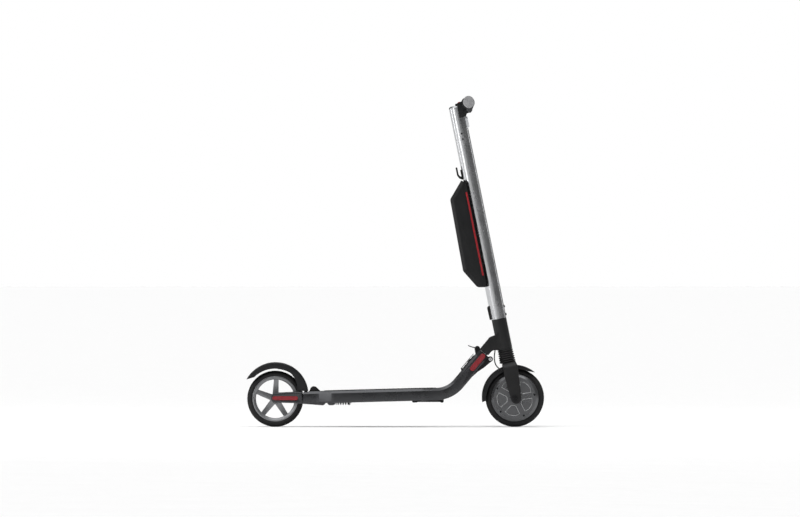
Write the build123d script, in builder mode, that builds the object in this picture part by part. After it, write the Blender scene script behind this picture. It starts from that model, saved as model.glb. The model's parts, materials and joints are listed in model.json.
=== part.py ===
"""Electric kick scooter: folding stem, front hub motor, rear swing arm, two batteries.

Millimetres.  +X forward, +Y to the rider's left, +Z up, origin on the ground
midway between the ends.  Every piece is its own solid in its own STEP file.
"""
import os
from math import atan2, cos, hypot, radians, sin, tan

from build123d import *

os.makedirs("parts", exist_ok=True)

# ---------------------------------------------------------------- driving dimensions
FRONT_AXLE_X, FRONT_TYRE_R = 409.0, 100.0
REAR_AXLE_X, REAR_TYRE_R = -410.0, 96.0
RAKE = 11.4                       # stem lean, degrees back from vertical
GAP = 0.3                         # between faces of pieces that move apart
RUNNING = 0.06                    # radial clearance of a shaft in its hole

# deck ribbon: rear end, kink where it bends up, upper end of the neck (X, Z)
DECK_REAR = (-314.4, 100.3)
DECK_KINK = (187.5, 113.5)
NECK_END = (298.6, 245.9)
DECK_THICK = 41.0
BEND_R = 100.0
DECK_HALF_W, NECK_HALF_W, TAIL_HALF_W = 74.0, 40.0, 50.0
BAY_HALF_W = 44.6                 # inside of the tail's side walls
NECK_CAP, NECK_LIP = 14.0, 8.0    # hinge casting that ends the neck, before and past its end
EDGE_BEVEL, EDGE_ROUND = 8.0, 6.0  # along the deck's upper and lower edges
PLATE_UNDER = 16.6                # underside of the top plate, over the mid plane

# joint places (X, Z), or (X, Y, Z) where the joint is off the centre line
FOLD_HINGE = (281.0, 267.0)
ARM_PIVOT = (-247.0, 109.0)
LUG_PIN = (-247.0, 87.0)
FENDER_PIN = (-305.0, 114.0)
KICK_PIVOT = (160.0, 36.0, 90.0)
KICK_OUT = (0, 0.882, 0.471)      # along the kickstand's pin, outward
PIN_R, AXLE_R = 5.0, 6.0
KNUCKLE_R = 9.5

# stem, measured along the steering axis from the front axle
CROWN_S = (114.0, 122.0)
HEAD_S = (168.0, 275.0)
STEM_S = (275.4, 1018.0)
HEAD_R, STEM_R, STEM_BORE = 25.5, 26.0, 23.0
STEERER_R, POST_R = 15.0, 12.0
BAR_CENTRE, BAR_R = (43.0, 1019.0), 11.0  # forward of the axis, along the axis
GRIP_Y, CAP_Y, END_Y = 84.0, 208.0, 215.0

# ---------------------------------------------------------------- places and planes
FRONT_AXLE = (FRONT_AXLE_X, 0, FRONT_TYRE_R)
REAR_AXLE = (REAR_AXLE_X, 0, REAR_TYRE_R)
UP_STEM = (-sin(radians(RAKE)), 0, cos(radians(RAKE)))
FORE_STEM = (cos(radians(RAKE)), 0, sin(radians(RAKE)))
STEM = Plane(origin=FRONT_AXLE, x_dir=FORE_STEM, z_dir=UP_STEM)
STEM_SIDE = Plane(origin=FRONT_AXLE, x_dir=FORE_STEM, z_dir=(0, -1, 0))
STEM_FRONT = Plane(origin=FRONT_AXLE, x_dir=(0, 1, 0), z_dir=FORE_STEM)
STEM_AXIS = Axis(FRONT_AXLE, UP_STEM)
FRONT_SIDE = Plane(origin=FRONT_AXLE, x_dir=(1, 0, 0), z_dir=(0, -1, 0))
REAR_SIDE = Plane(origin=REAR_AXLE, x_dir=(1, 0, 0), z_dir=(0, -1, 0))
FRONT_DISC, REAR_DISC = Plane(origin=FRONT_AXLE), Plane(origin=REAR_AXLE)
FRONT_SPIN, REAR_SPIN = Axis(FRONT_AXLE, (0, 1, 0)), Axis(REAR_AXLE, (0, 1, 0))

SLOPE = atan2(DECK_KINK[1] - DECK_REAR[1], DECK_KINK[0] - DECK_REAR[0])
NECK_ANGLE = atan2(NECK_END[1] - DECK_KINK[1], NECK_END[0] - DECK_KINK[0])
DECK = Plane(
    origin=(DECK_REAR[0], 0, DECK_REAR[1]),
    x_dir=(cos(SLOPE), 0, sin(SLOPE)),
    z_dir=(-sin(SLOPE), 0, cos(SLOPE)),
)
NECK_DIR = (cos(NECK_ANGLE), 0, sin(NECK_ANGLE))
NECK = Plane(origin=(NECK_END[0], 0, NECK_END[1]), x_dir=NECK_DIR, z_dir=(0, -1, 0))
KICK = Plane(origin=KICK_PIVOT, x_dir=(1, 0, 0), z_dir=KICK_OUT)
HALF_THICK = DECK_THICK / 2
BEND_SETBACK = BEND_R * tan((NECK_ANGLE - SLOPE) / 2)
hinge_spot = NECK.to_local_coords(Vector(FOLD_HINGE[0], 0, FOLD_HINGE[1]))
HINGE_ON_NECK = (hinge_spot.X, hinge_spot.Y)
LATCH_ON_NECK = (6.4, -29.4)


def across(point, y=0.0):
    """A plane facing -Y at an (X, Z) point, for pieces that run across the scooter."""
    return Plane(origin=(point[0], y, point[1]), x_dir=(1, 0, 0), z_dir=(0, -1, 0))


def on_neck(x, h):
    """The (X, Z) place of a point given along and square to the neck."""
    spot = NECK.from_local_coords(Vector(x, h, 0))
    return (spot.X, spot.Z)


def on_stem(n, s):
    """The (X, Z) place of a point given forward of and along the steering axis."""
    spot = STEM_SIDE.from_local_coords(Vector(n, s, 0))
    return (spot.X, spot.Z)


def pair(plane, inner):
    """Planes on both sides of a mid plane that faces -Y, with the outward extrude sign."""
    return ((plane.offset(-inner), -1), (plane.offset(inner), 1))


def over_ribbon(point):
    """Height of a point over the deck's mid surface, square to it."""
    along_deck = DECK.to_local_coords(point)
    along_neck = NECK.to_local_coords(point)
    deck_straight = hypot(DECK_KINK[0] - DECK_REAR[0], DECK_KINK[1] - DECK_REAR[1]) - BEND_SETBACK
    neck_straight = hypot(NECK_END[0] - DECK_KINK[0], NECK_END[1] - DECK_KINK[1]) - BEND_SETBACK
    if along_deck.X < deck_straight:
        return along_deck.Z
    if along_neck.X > -neck_straight:
        return along_neck.Y
    centre = DECK.from_local_coords(Vector(deck_straight, 0, BEND_R))
    return BEND_R - hypot(point.X - centre.X, point.Z - centre.Z)


def long_edges(part, upper):
    """The deck's side edges that follow its upper or its lower surface."""
    chosen = ShapeList()
    for edge in part.edges():
        heights = [over_ribbon(edge @ t) for t in (0, 0.5, 1)]
        on_top = min(heights) > HALF_THICK - 0.5
        below = max(heights) < 0.5 - HALF_THICK
        if abs(edge.center().Y) > 5 and (on_top if upper else below):
            chosen.append(edge)
    return chosen


# ================================================================ deck, the root body
MAT_OUTLINE = ((72, 50), (105, 64), (405, 64), (455, 45))   # along the deck, half width
CABIN_A = (175.0, 362.0)          # electronics bay in the deck, along the deck
CABIN_HALF_W, COVER_HALF_W = 58.0, 66.0
SCREW_A, SCREW_Y = (180, 239, 298, 357), 62.0
MAT_SINK = 1.3
REFLECTOR_X, REFLECTOR_H = -30.0, -3.0
REFLECTOR_L, REFLECTOR_W = 72.0, 18.0


def mat_outline(grow):
    """Half of the grip mat's plan outline, grown by a margin."""
    sides = [(a + (grow if a > 400 else -grow), half + grow) for a, half in MAT_OUTLINE]
    return [(sides[0][0], 0), *sides, (sides[-1][0], 0)]


with BuildPart() as deck_frame:
    with BuildSketch(Plane.XZ):
        with BuildLine():
            FilletPolyline(DECK_REAR, DECK_KINK, on_neck(-NECK_CAP, 0), radius=BEND_R)
        trace(line_width=DECK_THICK)
    extrude(amount=DECK_HALF_W, both=True)
    with BuildSketch(Plane.XY) as deck_plan:
        with BuildLine():
            Polyline(
                (-316, 0), (-316, TAIL_HALF_W), (-262, TAIL_HALF_W + 1), (-215, DECK_HALF_W),
                (95, DECK_HALF_W), (185, NECK_HALF_W), (330, NECK_HALF_W), (330, 0),
            )
            mirror(about=Plane.XZ)
        make_face()
        fillet(deck_plan.vertices().filter_by(lambda v: -300 < v.X < 300), radius=40)
    extrude(amount=400, mode=Mode.INTERSECT)
    chamfer(long_edges(deck_frame.part, upper=True), EDGE_BEVEL)
    fillet(long_edges(deck_frame.part, upper=False), EDGE_ROUND)
    # grip mat recess, electronics bay and the recess of its cover
    with BuildSketch(DECK.offset(HALF_THICK - MAT_SINK)):
        with BuildLine():
            Polyline(*mat_outline(0.2))
            mirror(about=Plane.XZ)
        make_face()
    extrude(amount=5, mode=Mode.SUBTRACT)
    cabin_mid, cabin_len = sum(CABIN_A) / 2, CABIN_A[1] - CABIN_A[0]
    with BuildSketch(DECK.offset(-HALF_THICK - 2)):
        with Locations((cabin_mid, 0)):
            RectangleRounded(cabin_len, 2 * CABIN_HALF_W, 8)
    extrude(amount=HALF_THICK + 2 + PLATE_UNDER, mode=Mode.SUBTRACT)
    with BuildSketch(DECK.offset(-HALF_THICK - 2)):
        with Locations((cabin_mid, 0)):
            RectangleRounded(cabin_len + 16.4, 2 * COVER_HALF_W + 0.4, 10)
    extrude(amount=2 + 2.5, mode=Mode.SUBTRACT)
    with BuildSketch(DECK.offset(-HALF_THICK)):
        with Locations(*[(a, y) for a in SCREW_A for y in (-SCREW_Y, SCREW_Y)]):
            Circle(1.5)
    extrude(amount=12, mode=Mode.SUBTRACT)
    # cable channel up the neck
    with BuildSketch(Plane.XZ):
        with BuildLine():
            FilletPolyline((80, 110.7), DECK_KINK, on_neck(-NECK_CAP + 1, 0), radius=BEND_R)
        trace(line_width=26)
    extrude(amount=26, both=True, mode=Mode.SUBTRACT)
    # bay for the swing arm, open above behind the rider's foot; bay for the shock spring
    with BuildSketch(DECK.offset(-40)):
        with Locations((32, 0)):
            Rectangle(104.8, 2 * BAY_HALF_W)
    extrude(amount=40 + PLATE_UNDER, mode=Mode.SUBTRACT)
    with BuildSketch(DECK):
        with Locations((-1, 0)):
            Rectangle(38.8, 2 * BAY_HALF_W)
    extrude(amount=40, mode=Mode.SUBTRACT)
    with BuildSketch(DECK.offset(-40)):
        with Locations((125, 0)):
            Rectangle(84, 36)
    extrude(amount=40, mode=Mode.SUBTRACT)
    # block that the shock spring pushes against
    with BuildSketch(Plane.XZ) as shock_block:
        with BuildLine():
            Polyline((-232, 108), (-232, 74), (-204, 74), (-204, 108), close=True)
        make_face()
        fillet(shock_block.vertices().group_by(Axis.Y)[0], 9)
    extrude(amount=18.5, both=True)
    with BuildSketch(Plane.YZ.offset(-240)):
        with Locations((0, LUG_PIN[1])):
            Circle(4 + RUNNING)
    extrude(amount=50, mode=Mode.SUBTRACT)
    # arm pivot, kickstand pocket and reflector recesses
    with BuildSketch(across(ARM_PIVOT)):
        Circle(PIN_R)
    extrude(amount=52, both=True, mode=Mode.SUBTRACT)
    with BuildSketch(KICK.offset(-6.6)):
        with Locations((-0.5, 10)):
            Rectangle(24, 39)
    extrude(amount=17.8, mode=Mode.SUBTRACT)
    with BuildSketch(KICK.offset(-6.6)):
        with Locations((-56, 12)):
            Rectangle(92, 36)
    extrude(amount=13.2, mode=Mode.SUBTRACT)
    for face, way in pair(NECK, NECK_HALF_W - 1.0):
        with BuildSketch(face):
            with Locations((REFLECTOR_X, REFLECTOR_H)):
                SlotOverall(REFLECTOR_L, REFLECTOR_W)
        extrude(amount=way * 5, mode=Mode.SUBTRACT)
deck_frame.part.label = "deck_frame"
export_step(deck_frame.part, "parts/deck_frame.step")

with BuildPart() as deck_mat:
    with BuildSketch(DECK.offset(HALF_THICK - MAT_SINK)):
        with BuildLine():
            Polyline(*mat_outline(0))
            mirror(about=Plane.XZ)
        make_face()
    extrude(amount=2.2)
    fillet(deck_mat.edges().filter_by(Axis(DECK.origin, DECK.z_dir)), 3)
deck_mat.part.label = "deck_mat"
export_step(deck_mat.part, "parts/deck_mat.step")

with BuildPart() as belly_cover:
    with BuildSketch(DECK.offset(-HALF_THICK)):
        with Locations((sum(CABIN_A) / 2, 0)):
            RectangleRounded(CABIN_A[1] - CABIN_A[0] + 16, 2 * COVER_HALF_W, 9.8)
    extrude(amount=2.5)
    with BuildSketch(DECK.offset(-HALF_THICK)):
        with Locations(*[(a, y) for a in SCREW_A for y in (-SCREW_Y, SCREW_Y)]):
            Circle(3.1)
    extrude(amount=1.3, mode=Mode.SUBTRACT)
    with BuildSketch(DECK.offset(-HALF_THICK)):
        with Locations(*[(a, y) for a in SCREW_A for y in (-SCREW_Y, SCREW_Y)]):
            Circle(1.5)
    extrude(amount=3, mode=Mode.SUBTRACT)
belly_cover.part.label = "belly_cover"
export_step(belly_cover.part, "parts/belly_cover.step")

with BuildPart() as belly_screws:
    with BuildSketch(DECK.offset(-HALF_THICK + 0.1)):
        with Locations(*[(a, y) for a in SCREW_A for y in (-SCREW_Y, SCREW_Y)]):
            Circle(3.0)
            RegularPolygon(1.3, 6, mode=Mode.SUBTRACT)
    extrude(amount=0.7)
    with BuildSketch(DECK.offset(-HALF_THICK + 0.8)):
        with Locations(*[(a, y) for a in SCREW_A for y in (-SCREW_Y, SCREW_Y)]):
            Circle(3.0)
    extrude(amount=0.5)
    with BuildSketch(DECK.offset(-HALF_THICK + 1.3)):
        with Locations(*[(a, y) for a in SCREW_A for y in (-SCREW_Y, SCREW_Y)]):
            Circle(1.5)
    extrude(amount=9)
belly_screws.part.label = "belly_screws"
export_step(belly_screws.part, "parts/belly_screws.step")

with BuildPart() as deck_battery:
    with BuildSketch(DECK.offset(-15)):
        with Locations((262, 0)):
            RectangleRounded(146, 104, 5)
    extrude(amount=28)
deck_battery.part.label = "deck_battery"
export_step(deck_battery.part, "parts/deck_battery.step")

with BuildPart() as controller:
    with BuildSketch(DECK.offset(-15)):
        with Locations((348, 0)):
            RectangleRounded(22, 88, 4)
    extrude(amount=22)
    with BuildSketch(DECK.offset(3)):
        with Locations((348, 0)):
            with GridLocations(0, 9, 1, 9):
                Rectangle(40, 5)
    extrude(amount=6, mode=Mode.SUBTRACT)
controller.part.label = "controller"
export_step(controller.part, "parts/controller.step")

with BuildPart() as neck_reflectors:
    for face, way in pair(NECK, NECK_HALF_W - 1.0):
        with BuildSketch(face):
            with Locations((REFLECTOR_X, REFLECTOR_H)):
                SlotOverall(REFLECTOR_L - 0.4, REFLECTOR_W - 0.4)
        extrude(amount=way * 2.4)
    fillet(neck_reflectors.faces().filter_by(Axis.Y).group_by(Axis.Y)[0].edges(), 1.0)
    fillet(neck_reflectors.faces().filter_by(Axis.Y).group_by(Axis.Y)[-1].edges(), 1.0)
neck_reflectors.part.label = "neck_reflectors"
export_step(neck_reflectors.part, "parts/neck_reflectors.step")

KNUCKLES = (7.9, 8.2, 16.2, 16.5, 30.0)   # |Y| steps: pedal hub, casting's ears, clevis ears
with BuildPart() as fold_clevis:
    with BuildSketch(NECK):
        with Locations(((NECK_LIP - NECK_CAP) / 2, 0)):
            Rectangle(NECK_CAP + NECK_LIP, DECK_THICK)
    extrude(amount=NECK_HALF_W, both=True)
    along_neck = fold_clevis.edges().filter_by(Axis(NECK.origin, NECK_DIR))
    chamfer(along_neck.group_by(Axis.Z)[-1], EDGE_BEVEL)
    fillet(fold_clevis.edges().filter_by(Axis(NECK.origin, NECK_DIR)).group_by(Axis.Z)[0], EDGE_ROUND)
    with BuildSketch(NECK):
        with BuildLine():
            Polyline(
                (-82.4, -HALF_THICK), (-53.4, -24.7), (-29.7, -31.6), (-3.5, -36.3), (4.5, -38.2),
                LATCH_ON_NECK, (8.5, -20.7), (0, -19), (-NECK_CAP + 1, -HALF_THICK), close=True,
            )
        make_face()
        with Locations(LATCH_ON_NECK):
            Circle(9)
    extrude(amount=26, both=True)
    for face, way in pair(NECK, KNUCKLES[3]):
        with BuildSketch(face):
            with Locations(HINGE_ON_NECK):
                Circle(KNUCKLE_R)
            with BuildLine():
                Polyline((-13, 18), (-13, HALF_THICK), (-1.9, 33.8), HINGE_ON_NECK, (-1, 18), close=True)
            make_face()
        extrude(amount=way * (KNUCKLES[4] - KNUCKLES[3]))
    with BuildSketch(NECK):
        with Locations(HINGE_ON_NECK):
            Circle(KNUCKLE_R + 0.5)
    extrude(amount=KNUCKLES[3], both=True, mode=Mode.SUBTRACT)
    with BuildSketch(NECK):
        with Locations(HINGE_ON_NECK, LATCH_ON_NECK):
            Circle(PIN_R)
    extrude(amount=60, both=True, mode=Mode.SUBTRACT)
    for face, way in pair(NECK, NECK_HALF_W - 1.0):
        with BuildSketch(face):
            with Locations((REFLECTOR_X, REFLECTOR_H)):
                SlotOverall(REFLECTOR_L, REFLECTOR_W)
        extrude(amount=way * 5, mode=Mode.SUBTRACT)
fold_clevis.part.label = "fold_clevis"
export_step(fold_clevis.part, "parts/fold_clevis.step")

with BuildPart() as fold_pins:
    with BuildSketch(NECK):
        with Locations(HINGE_ON_NECK):
            Circle(PIN_R)
    extrude(amount=31, both=True)
    with BuildSketch(NECK):
        with Locations(LATCH_ON_NECK):
            Circle(PIN_R)
    extrude(amount=27, both=True)
    for spot, inner, head_r in ((HINGE_ON_NECK, 30.0, 5.9), (LATCH_ON_NECK, 26.0, 6.0)):
        for face, way in pair(NECK, inner):
            with BuildSketch(face):
                with Locations(spot):
                    Circle(head_r)
            extrude(amount=way * 2.6)
            with BuildSketch(face.offset(way * 2.6)):
                with Locations(spot):
                    RegularPolygon(2.6, 6)
            extrude(amount=-way * 1.6, mode=Mode.SUBTRACT)
fold_pins.part.label = "fold_pins"
export_step(fold_pins.part, "parts/fold_pins.step")

FLAP_PIN = (-82.0, 24.7)          # charge-flap pin in the neck plane
with BuildPart() as charge_socket:
    with BuildSketch(NECK):
        with BuildLine():
            Polyline((-88, HALF_THICK), (-20, HALF_THICK), (-21.6, 23.1), (-88, 23.1), close=True)
        make_face()
    extrude(amount=16, both=True)
    with BuildSketch(NECK):
        with Locations(FLAP_PIN):
            Circle(2.8)
    extrude(amount=13.3, both=True, mode=Mode.SUBTRACT)
    for face, way in pair(NECK, 13.3):
        with BuildSketch(face):
            with Locations(FLAP_PIN):
                Circle(2.8)
            with Locations((FLAP_PIN[0], 23)):
                Rectangle(5.6, 2.6)
        extrude(amount=way * 2.7)
    with BuildSketch(NECK):
        with Locations(FLAP_PIN):
            Circle(1.2)
    extrude(amount=14, both=True)
    socket_face = Plane(
        origin=NECK.from_local_coords(Vector(-45, 23, 0)), x_dir=NECK_DIR, z_dir=NECK.y_dir
    )
    with BuildSketch(socket_face):
        Circle(7)
        Circle(4.2, mode=Mode.SUBTRACT)
    extrude(amount=1.8)
    with BuildSketch(socket_face):
        Circle(1.2)
    extrude(amount=1.6)
charge_socket.part.label = "charge_socket"
export_step(charge_socket.part, "parts/charge_socket.step")

with BuildPart() as kickstand_bracket:
    with BuildSketch(KICK.offset(6.4)) as bracket_outline:
        with BuildLine():
            Polyline((-8, -9.5), (8, -9.5), (8, 3), (-8, 3), close=True)
        make_face()
        fillet(bracket_outline.vertices().group_by(Axis.Y)[-1], 5)
    extrude(amount=4.8)
    with BuildSketch(KICK.offset(-6.2)):
        Circle(3)
    extrude(amount=13)
kickstand_bracket.part.label = "kickstand_bracket"
export_step(kickstand_bracket.part, "parts/kickstand_bracket.step")

with BuildPart() as heel_stop:
    with BuildSketch(Plane.XZ) as stop_side:
        with BuildLine():
            stop_top = Polyline((-254, 121), (-271, 137.2), (-281, 139.6), (-288.5, 134.5), (-294.6, 120))
            Line(stop_top @ 1, stop_top @ 0)
        make_face()
        fillet(stop_side.vertices().filter_by(lambda v: v.Y > 130), 6)
    extrude(amount=16, both=True)
    with BuildSketch(DECK.offset(HALF_THICK)):
        with Locations((40, 0)):
            Rectangle(60, 50)
    extrude(amount=-10, mode=Mode.SUBTRACT)
    fillet(heel_stop.edges().filter_by(lambda e: e.center().Z > 125 and abs(e.center().Y) > 15), 3)
heel_stop.part.label = "heel_stop"
export_step(heel_stop.part, "parts/heel_stop.step")

with BuildPart() as arm_pivot_pin:
    with BuildSketch(across(ARM_PIVOT)):
        Circle(PIN_R)
    extrude(amount=51.5, both=True)
arm_pivot_pin.part.label = "arm_pivot_pin"
export_step(arm_pivot_pin.part, "parts/arm_pivot_pin.step")

# pieces that move on the deck, each a body of its own
with BuildPart() as fold_pedal:
    with BuildSketch(across(FOLD_HINGE)):
        Circle(KNUCKLE_R - 1.5)
    extrude(amount=KNUCKLES[0], both=True)
    with BuildSketch(across(FOLD_HINGE)):
        with BuildLine():
            pedal_top = ThreePointArc((-5, 5.6), (-19, 7.8), (-31.5, 13.2))
            Line(pedal_top @ 1, (-32.4, 10.4))
            pedal_low = ThreePointArc((-32.4, 10.4), (-19.5, 4.6), (-4, 2.2))
            Line(pedal_low @ 1, pedal_top @ 0)
        make_face()
    extrude(amount=KNUCKLES[0] - 0.4, both=True)
    with BuildSketch(across(FOLD_HINGE)):
        with BuildLine():
            tread_top = ThreePointArc((-13.5, 6.7), (-23, 8.9), (-31.5, 13.2))
            Line(tread_top @ 1, (-32.4, 10.4))
            tread_low = ThreePointArc((-32.4, 10.4), (-23.5, 5.9), (-13.5, 3.5))
            Line(tread_low @ 1, tread_top @ 0)
        make_face()
    extrude(amount=14, both=True)
    with BuildSketch(across(FOLD_HINGE)):
        Circle(PIN_R + RUNNING)
    extrude(amount=20, both=True, mode=Mode.SUBTRACT)
fold_pedal.part.label = "fold_pedal"
export_step(fold_pedal.part, "parts/fold_pedal.step")

KICK_DROOP, KICK_LEN = 0.0, 91.0
kick_way = (-cos(radians(KICK_DROOP)), sin(radians(KICK_DROOP)))
with BuildPart() as kickstand:
    with BuildSketch(KICK.offset(-6)):
        Circle(6)
    extrude(amount=12)
    leg_end = (KICK_LEN * kick_way[0], KICK_LEN * kick_way[1])
    with BuildSketch(KICK.offset(-4.5)):
        with BuildLine():
            Line((0, 0), leg_end)
        trace(line_width=8)
    extrude(amount=9)
    with BuildSketch(KICK.offset(-6)):
        with Locations((leg_end[0] - 2, leg_end[1] + 0.4)):
            RectangleRounded(18, 10, 4, rotation=-KICK_DROOP)
    extrude(amount=12)
    with BuildSketch(KICK.offset(-7)):
        Circle(3 + RUNNING)
    extrude(amount=14, mode=Mode.SUBTRACT)
kickstand.part.label = "kickstand"
export_step(kickstand.part, "parts/kickstand.step")

with BuildPart() as charge_flap:
    with BuildSketch(NECK):
        with Locations(FLAP_PIN):
            Circle(2.5)
        with BuildLine():
            Polyline(
                (FLAP_PIN[0], 25.4), (-18, 25.4), (-16.4, 26.2), (-18, 27.2), (FLAP_PIN[0], 27.2),
                close=True,
            )
        make_face()
    extrude(amount=13, both=True)
    with BuildSketch(NECK):
        with Locations(FLAP_PIN):
            Circle(1.2 + RUNNING)
    extrude(amount=14, both=True, mode=Mode.SUBTRACT)
charge_flap.part.label = "charge_flap"
export_step(charge_flap.part, "parts/charge_flap.step")


# ================================================================ rear wheel and its swing arm
REAR_RIM_R, REAR_RIM_IN = 77.6, 66.0
FIRST_SPOKE = 15
BLADE_INNER, BLADE_OUTER = 31.0, 49.0
TAIL_X = -316.6                   # front end of the blades, behind the deck's tail

with BuildPart() as rear_arm:
    with BuildSketch(Plane.XZ):
        with BuildLine():
            blade_top = Line((TAIL_X, 120.4), (-409, 116.6))
            blade_end = ThreePointArc((-409, 116.6), (-425.6, 100), (-409, 83.6))
            Polyline(blade_end @ 1, (TAIL_X, 81), blade_top @ 0)
        make_face()
    extrude(amount=BLADE_OUTER, both=True)
    fillet(rear_arm.faces().filter_by(Axis.Y).edges(), 3)
    with BuildSketch(Plane.XZ):
        with Locations((-370, 100)):
            Rectangle(140, 80)
    extrude(amount=BLADE_INNER, both=True, mode=Mode.SUBTRACT)
    # plates inside the deck's tail, with the pivot above and the shock lug below
    for face, way in pair(Plane.XZ, 36.0):
        with BuildSketch(face):
            with BuildLine():
                Polyline(
                    (-330, 108.5), (-296, 111.8), (-248.6, 117.9), (-240, 109), (-238, 86),
                    (-249, 74.2), (TAIL_X, 79.4), (-330, 80), close=True,
                )
            make_face()
            with Locations(ARM_PIVOT):
                Circle(9)
            with Locations((-249, 86)):
                Circle(12)
        extrude(amount=way * 8)
    with BuildSketch(Plane.XZ):
        with Locations((-301, 98)):
            Rectangle(14, 16)
    extrude(amount=40, both=True)
    with BuildSketch(Plane.XZ):
        with Locations(FENDER_PIN):
            Circle(6)
        with BuildLine():
            Polyline(
                (FENDER_PIN[0] - 6, FENDER_PIN[1]), (-306, 100), (-296, 100), (-298.5, 110),
                (FENDER_PIN[0] + 6, FENDER_PIN[1]), close=True,
            )
        make_face()
    extrude(amount=13.5, both=True)
    with BuildSketch(across(LUG_PIN)):
        Circle(4)
    extrude(amount=40, both=True)
    with BuildSketch(across(ARM_PIVOT)):
        Circle(PIN_R + RUNNING)
    extrude(amount=60, both=True, mode=Mode.SUBTRACT)
    with BuildSketch(across(FENDER_PIN)):
        Circle(3)
    extrude(amount=60, both=True, mode=Mode.SUBTRACT)
    with BuildSketch(REAR_SIDE):
        Circle(AXLE_R)
    extrude(amount=43, both=True, mode=Mode.SUBTRACT)
    for face, way in pair(Plane.XZ, BLADE_OUTER - 1):
        with BuildSketch(face):
            with Locations((-376, 98.6)):
                SlotOverall(88, 14)
        extrude(amount=way * 8, mode=Mode.SUBTRACT)
rear_arm.part.label = "rear_arm"
export_step(rear_arm.part, "parts/rear_arm.step")

with BuildPart() as rear_reflectors:
    for face, way in pair(Plane.XZ, BLADE_OUTER - 1):
        with BuildSketch(face):
            with Locations((-376, 98.6)):
                SlotOverall(87.6, 13.6)
        extrude(amount=way * 2.4)
rear_reflectors.part.label = "rear_reflectors"
export_step(rear_reflectors.part, "parts/rear_reflectors.step")

with BuildPart() as rear_axle_set:
    with BuildSketch(REAR_SIDE):
        Circle(AXLE_R)
    extrude(amount=42.5, both=True)
    for face, way in pair(REAR_SIDE, 16.6):
        with BuildSketch(face):
            Circle(9)
        extrude(amount=way * (BLADE_INNER - 16.6))
rear_axle_set.part.label = "rear_axle_set"
export_step(rear_axle_set.part, "parts/rear_axle_set.step")

with BuildPart() as fender_hinge_pin:
    with BuildSketch(across(FENDER_PIN)):
        Circle(3)
    extrude(amount=22, both=True)
    for face, way in pair(across(FENDER_PIN), 20.4):
        with BuildSketch(face):
            Circle(4.6)
        extrude(amount=way * 2)
fender_hinge_pin.part.label = "fender_hinge_pin"
export_step(fender_hinge_pin.part, "parts/fender_hinge_pin.step")

with BuildPart() as rear_tyre:
    with BuildSketch(REAR_DISC):
        with BuildLine():
            Polyline(
                (84, 19.5), (REAR_RIM_R, 17), (REAR_RIM_R, -17), (84, -19.5)
            )
            ThreePointArc((84, -19.5), (REAR_TYRE_R, 0), (84, 19.5))
        make_face()
    revolve(axis=REAR_SPIN)
rear_tyre.part.label = "rear_tyre"
export_step(rear_tyre.part, "parts/rear_tyre.step")

with BuildPart() as rear_rim:
    with BuildSketch(REAR_DISC):
        with BuildLine():
            Polyline(
                (REAR_RIM_R, 16.8), (74, 17.6), (REAR_RIM_IN, 14), (REAR_RIM_IN + 1.5, 0),
                (REAR_RIM_IN, -14), (74, -17.6), (REAR_RIM_R, -16.8), close=True,
            )
        make_face()
        with Locations((16, 0)):
            Rectangle(6.0, 33)
    revolve(axis=REAR_SPIN)
    with BuildSketch(REAR_SIDE):
        with PolarLocations(0, 5, start_angle=FIRST_SPOKE):
            Polygon((12, -10.5), (68, -8), (68, 8), (12, 10.5), align=None)
        Circle(14, mode=Mode.SUBTRACT)
    extrude(amount=9, both=True)
rear_rim.part.label = "rear_rim"
export_step(rear_rim.part, "parts/rear_rim.step")

with BuildPart() as rear_bearings:
    for face, way in pair(REAR_SIDE, 8.0):
        with BuildSketch(face):
            Circle(12.95)
            Circle(AXLE_R + RUNNING, mode=Mode.SUBTRACT)
        extrude(amount=way * 8)
rear_bearings.part.label = "rear_bearings"
export_step(rear_bearings.part, "parts/rear_bearings.step")

SPRING_X = (-203.6, -156.0)
SPRING_R = 12.5
ROD_LINE = Plane.YZ.offset(-240)
with BuildPart() as pull_rod:
    with BuildSketch(across(LUG_PIN)):
        Circle(8.5)
    extrude(amount=6, both=True)
    with BuildSketch(ROD_LINE):
        with Locations((0, LUG_PIN[1])):
            Circle(4)
    extrude(amount=91.4)
    with BuildSketch(Plane.YZ.offset(SPRING_X[1])):
        with Locations((0, LUG_PIN[1])):
            Circle(SPRING_R)
    extrude(amount=2.4)
    with BuildSketch(Plane.YZ.offset(SPRING_X[1] + 2.4)):
        with Locations((0, LUG_PIN[1])):
            RegularPolygon(7.5, 6)
    extrude(amount=4)
    with BuildSketch(across(LUG_PIN)):
        Circle(4 + GAP)
    extrude(amount=20, both=True, mode=Mode.SUBTRACT)
pull_rod.part.label = "pull_rod"
export_step(pull_rod.part, "parts/pull_rod.step")

with BuildPart() as rear_spring:
    with BuildSketch(Plane.YZ.offset(SPRING_X[0])):
        with Locations((0, LUG_PIN[1])):
            Circle(SPRING_R)
            Circle(SPRING_R - 4.5, mode=Mode.SUBTRACT)
    extrude(amount=SPRING_X[1] - SPRING_X[0])
rear_spring.part.label = "rear_spring"
export_step(rear_spring.part, "parts/rear_spring.step")

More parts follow.
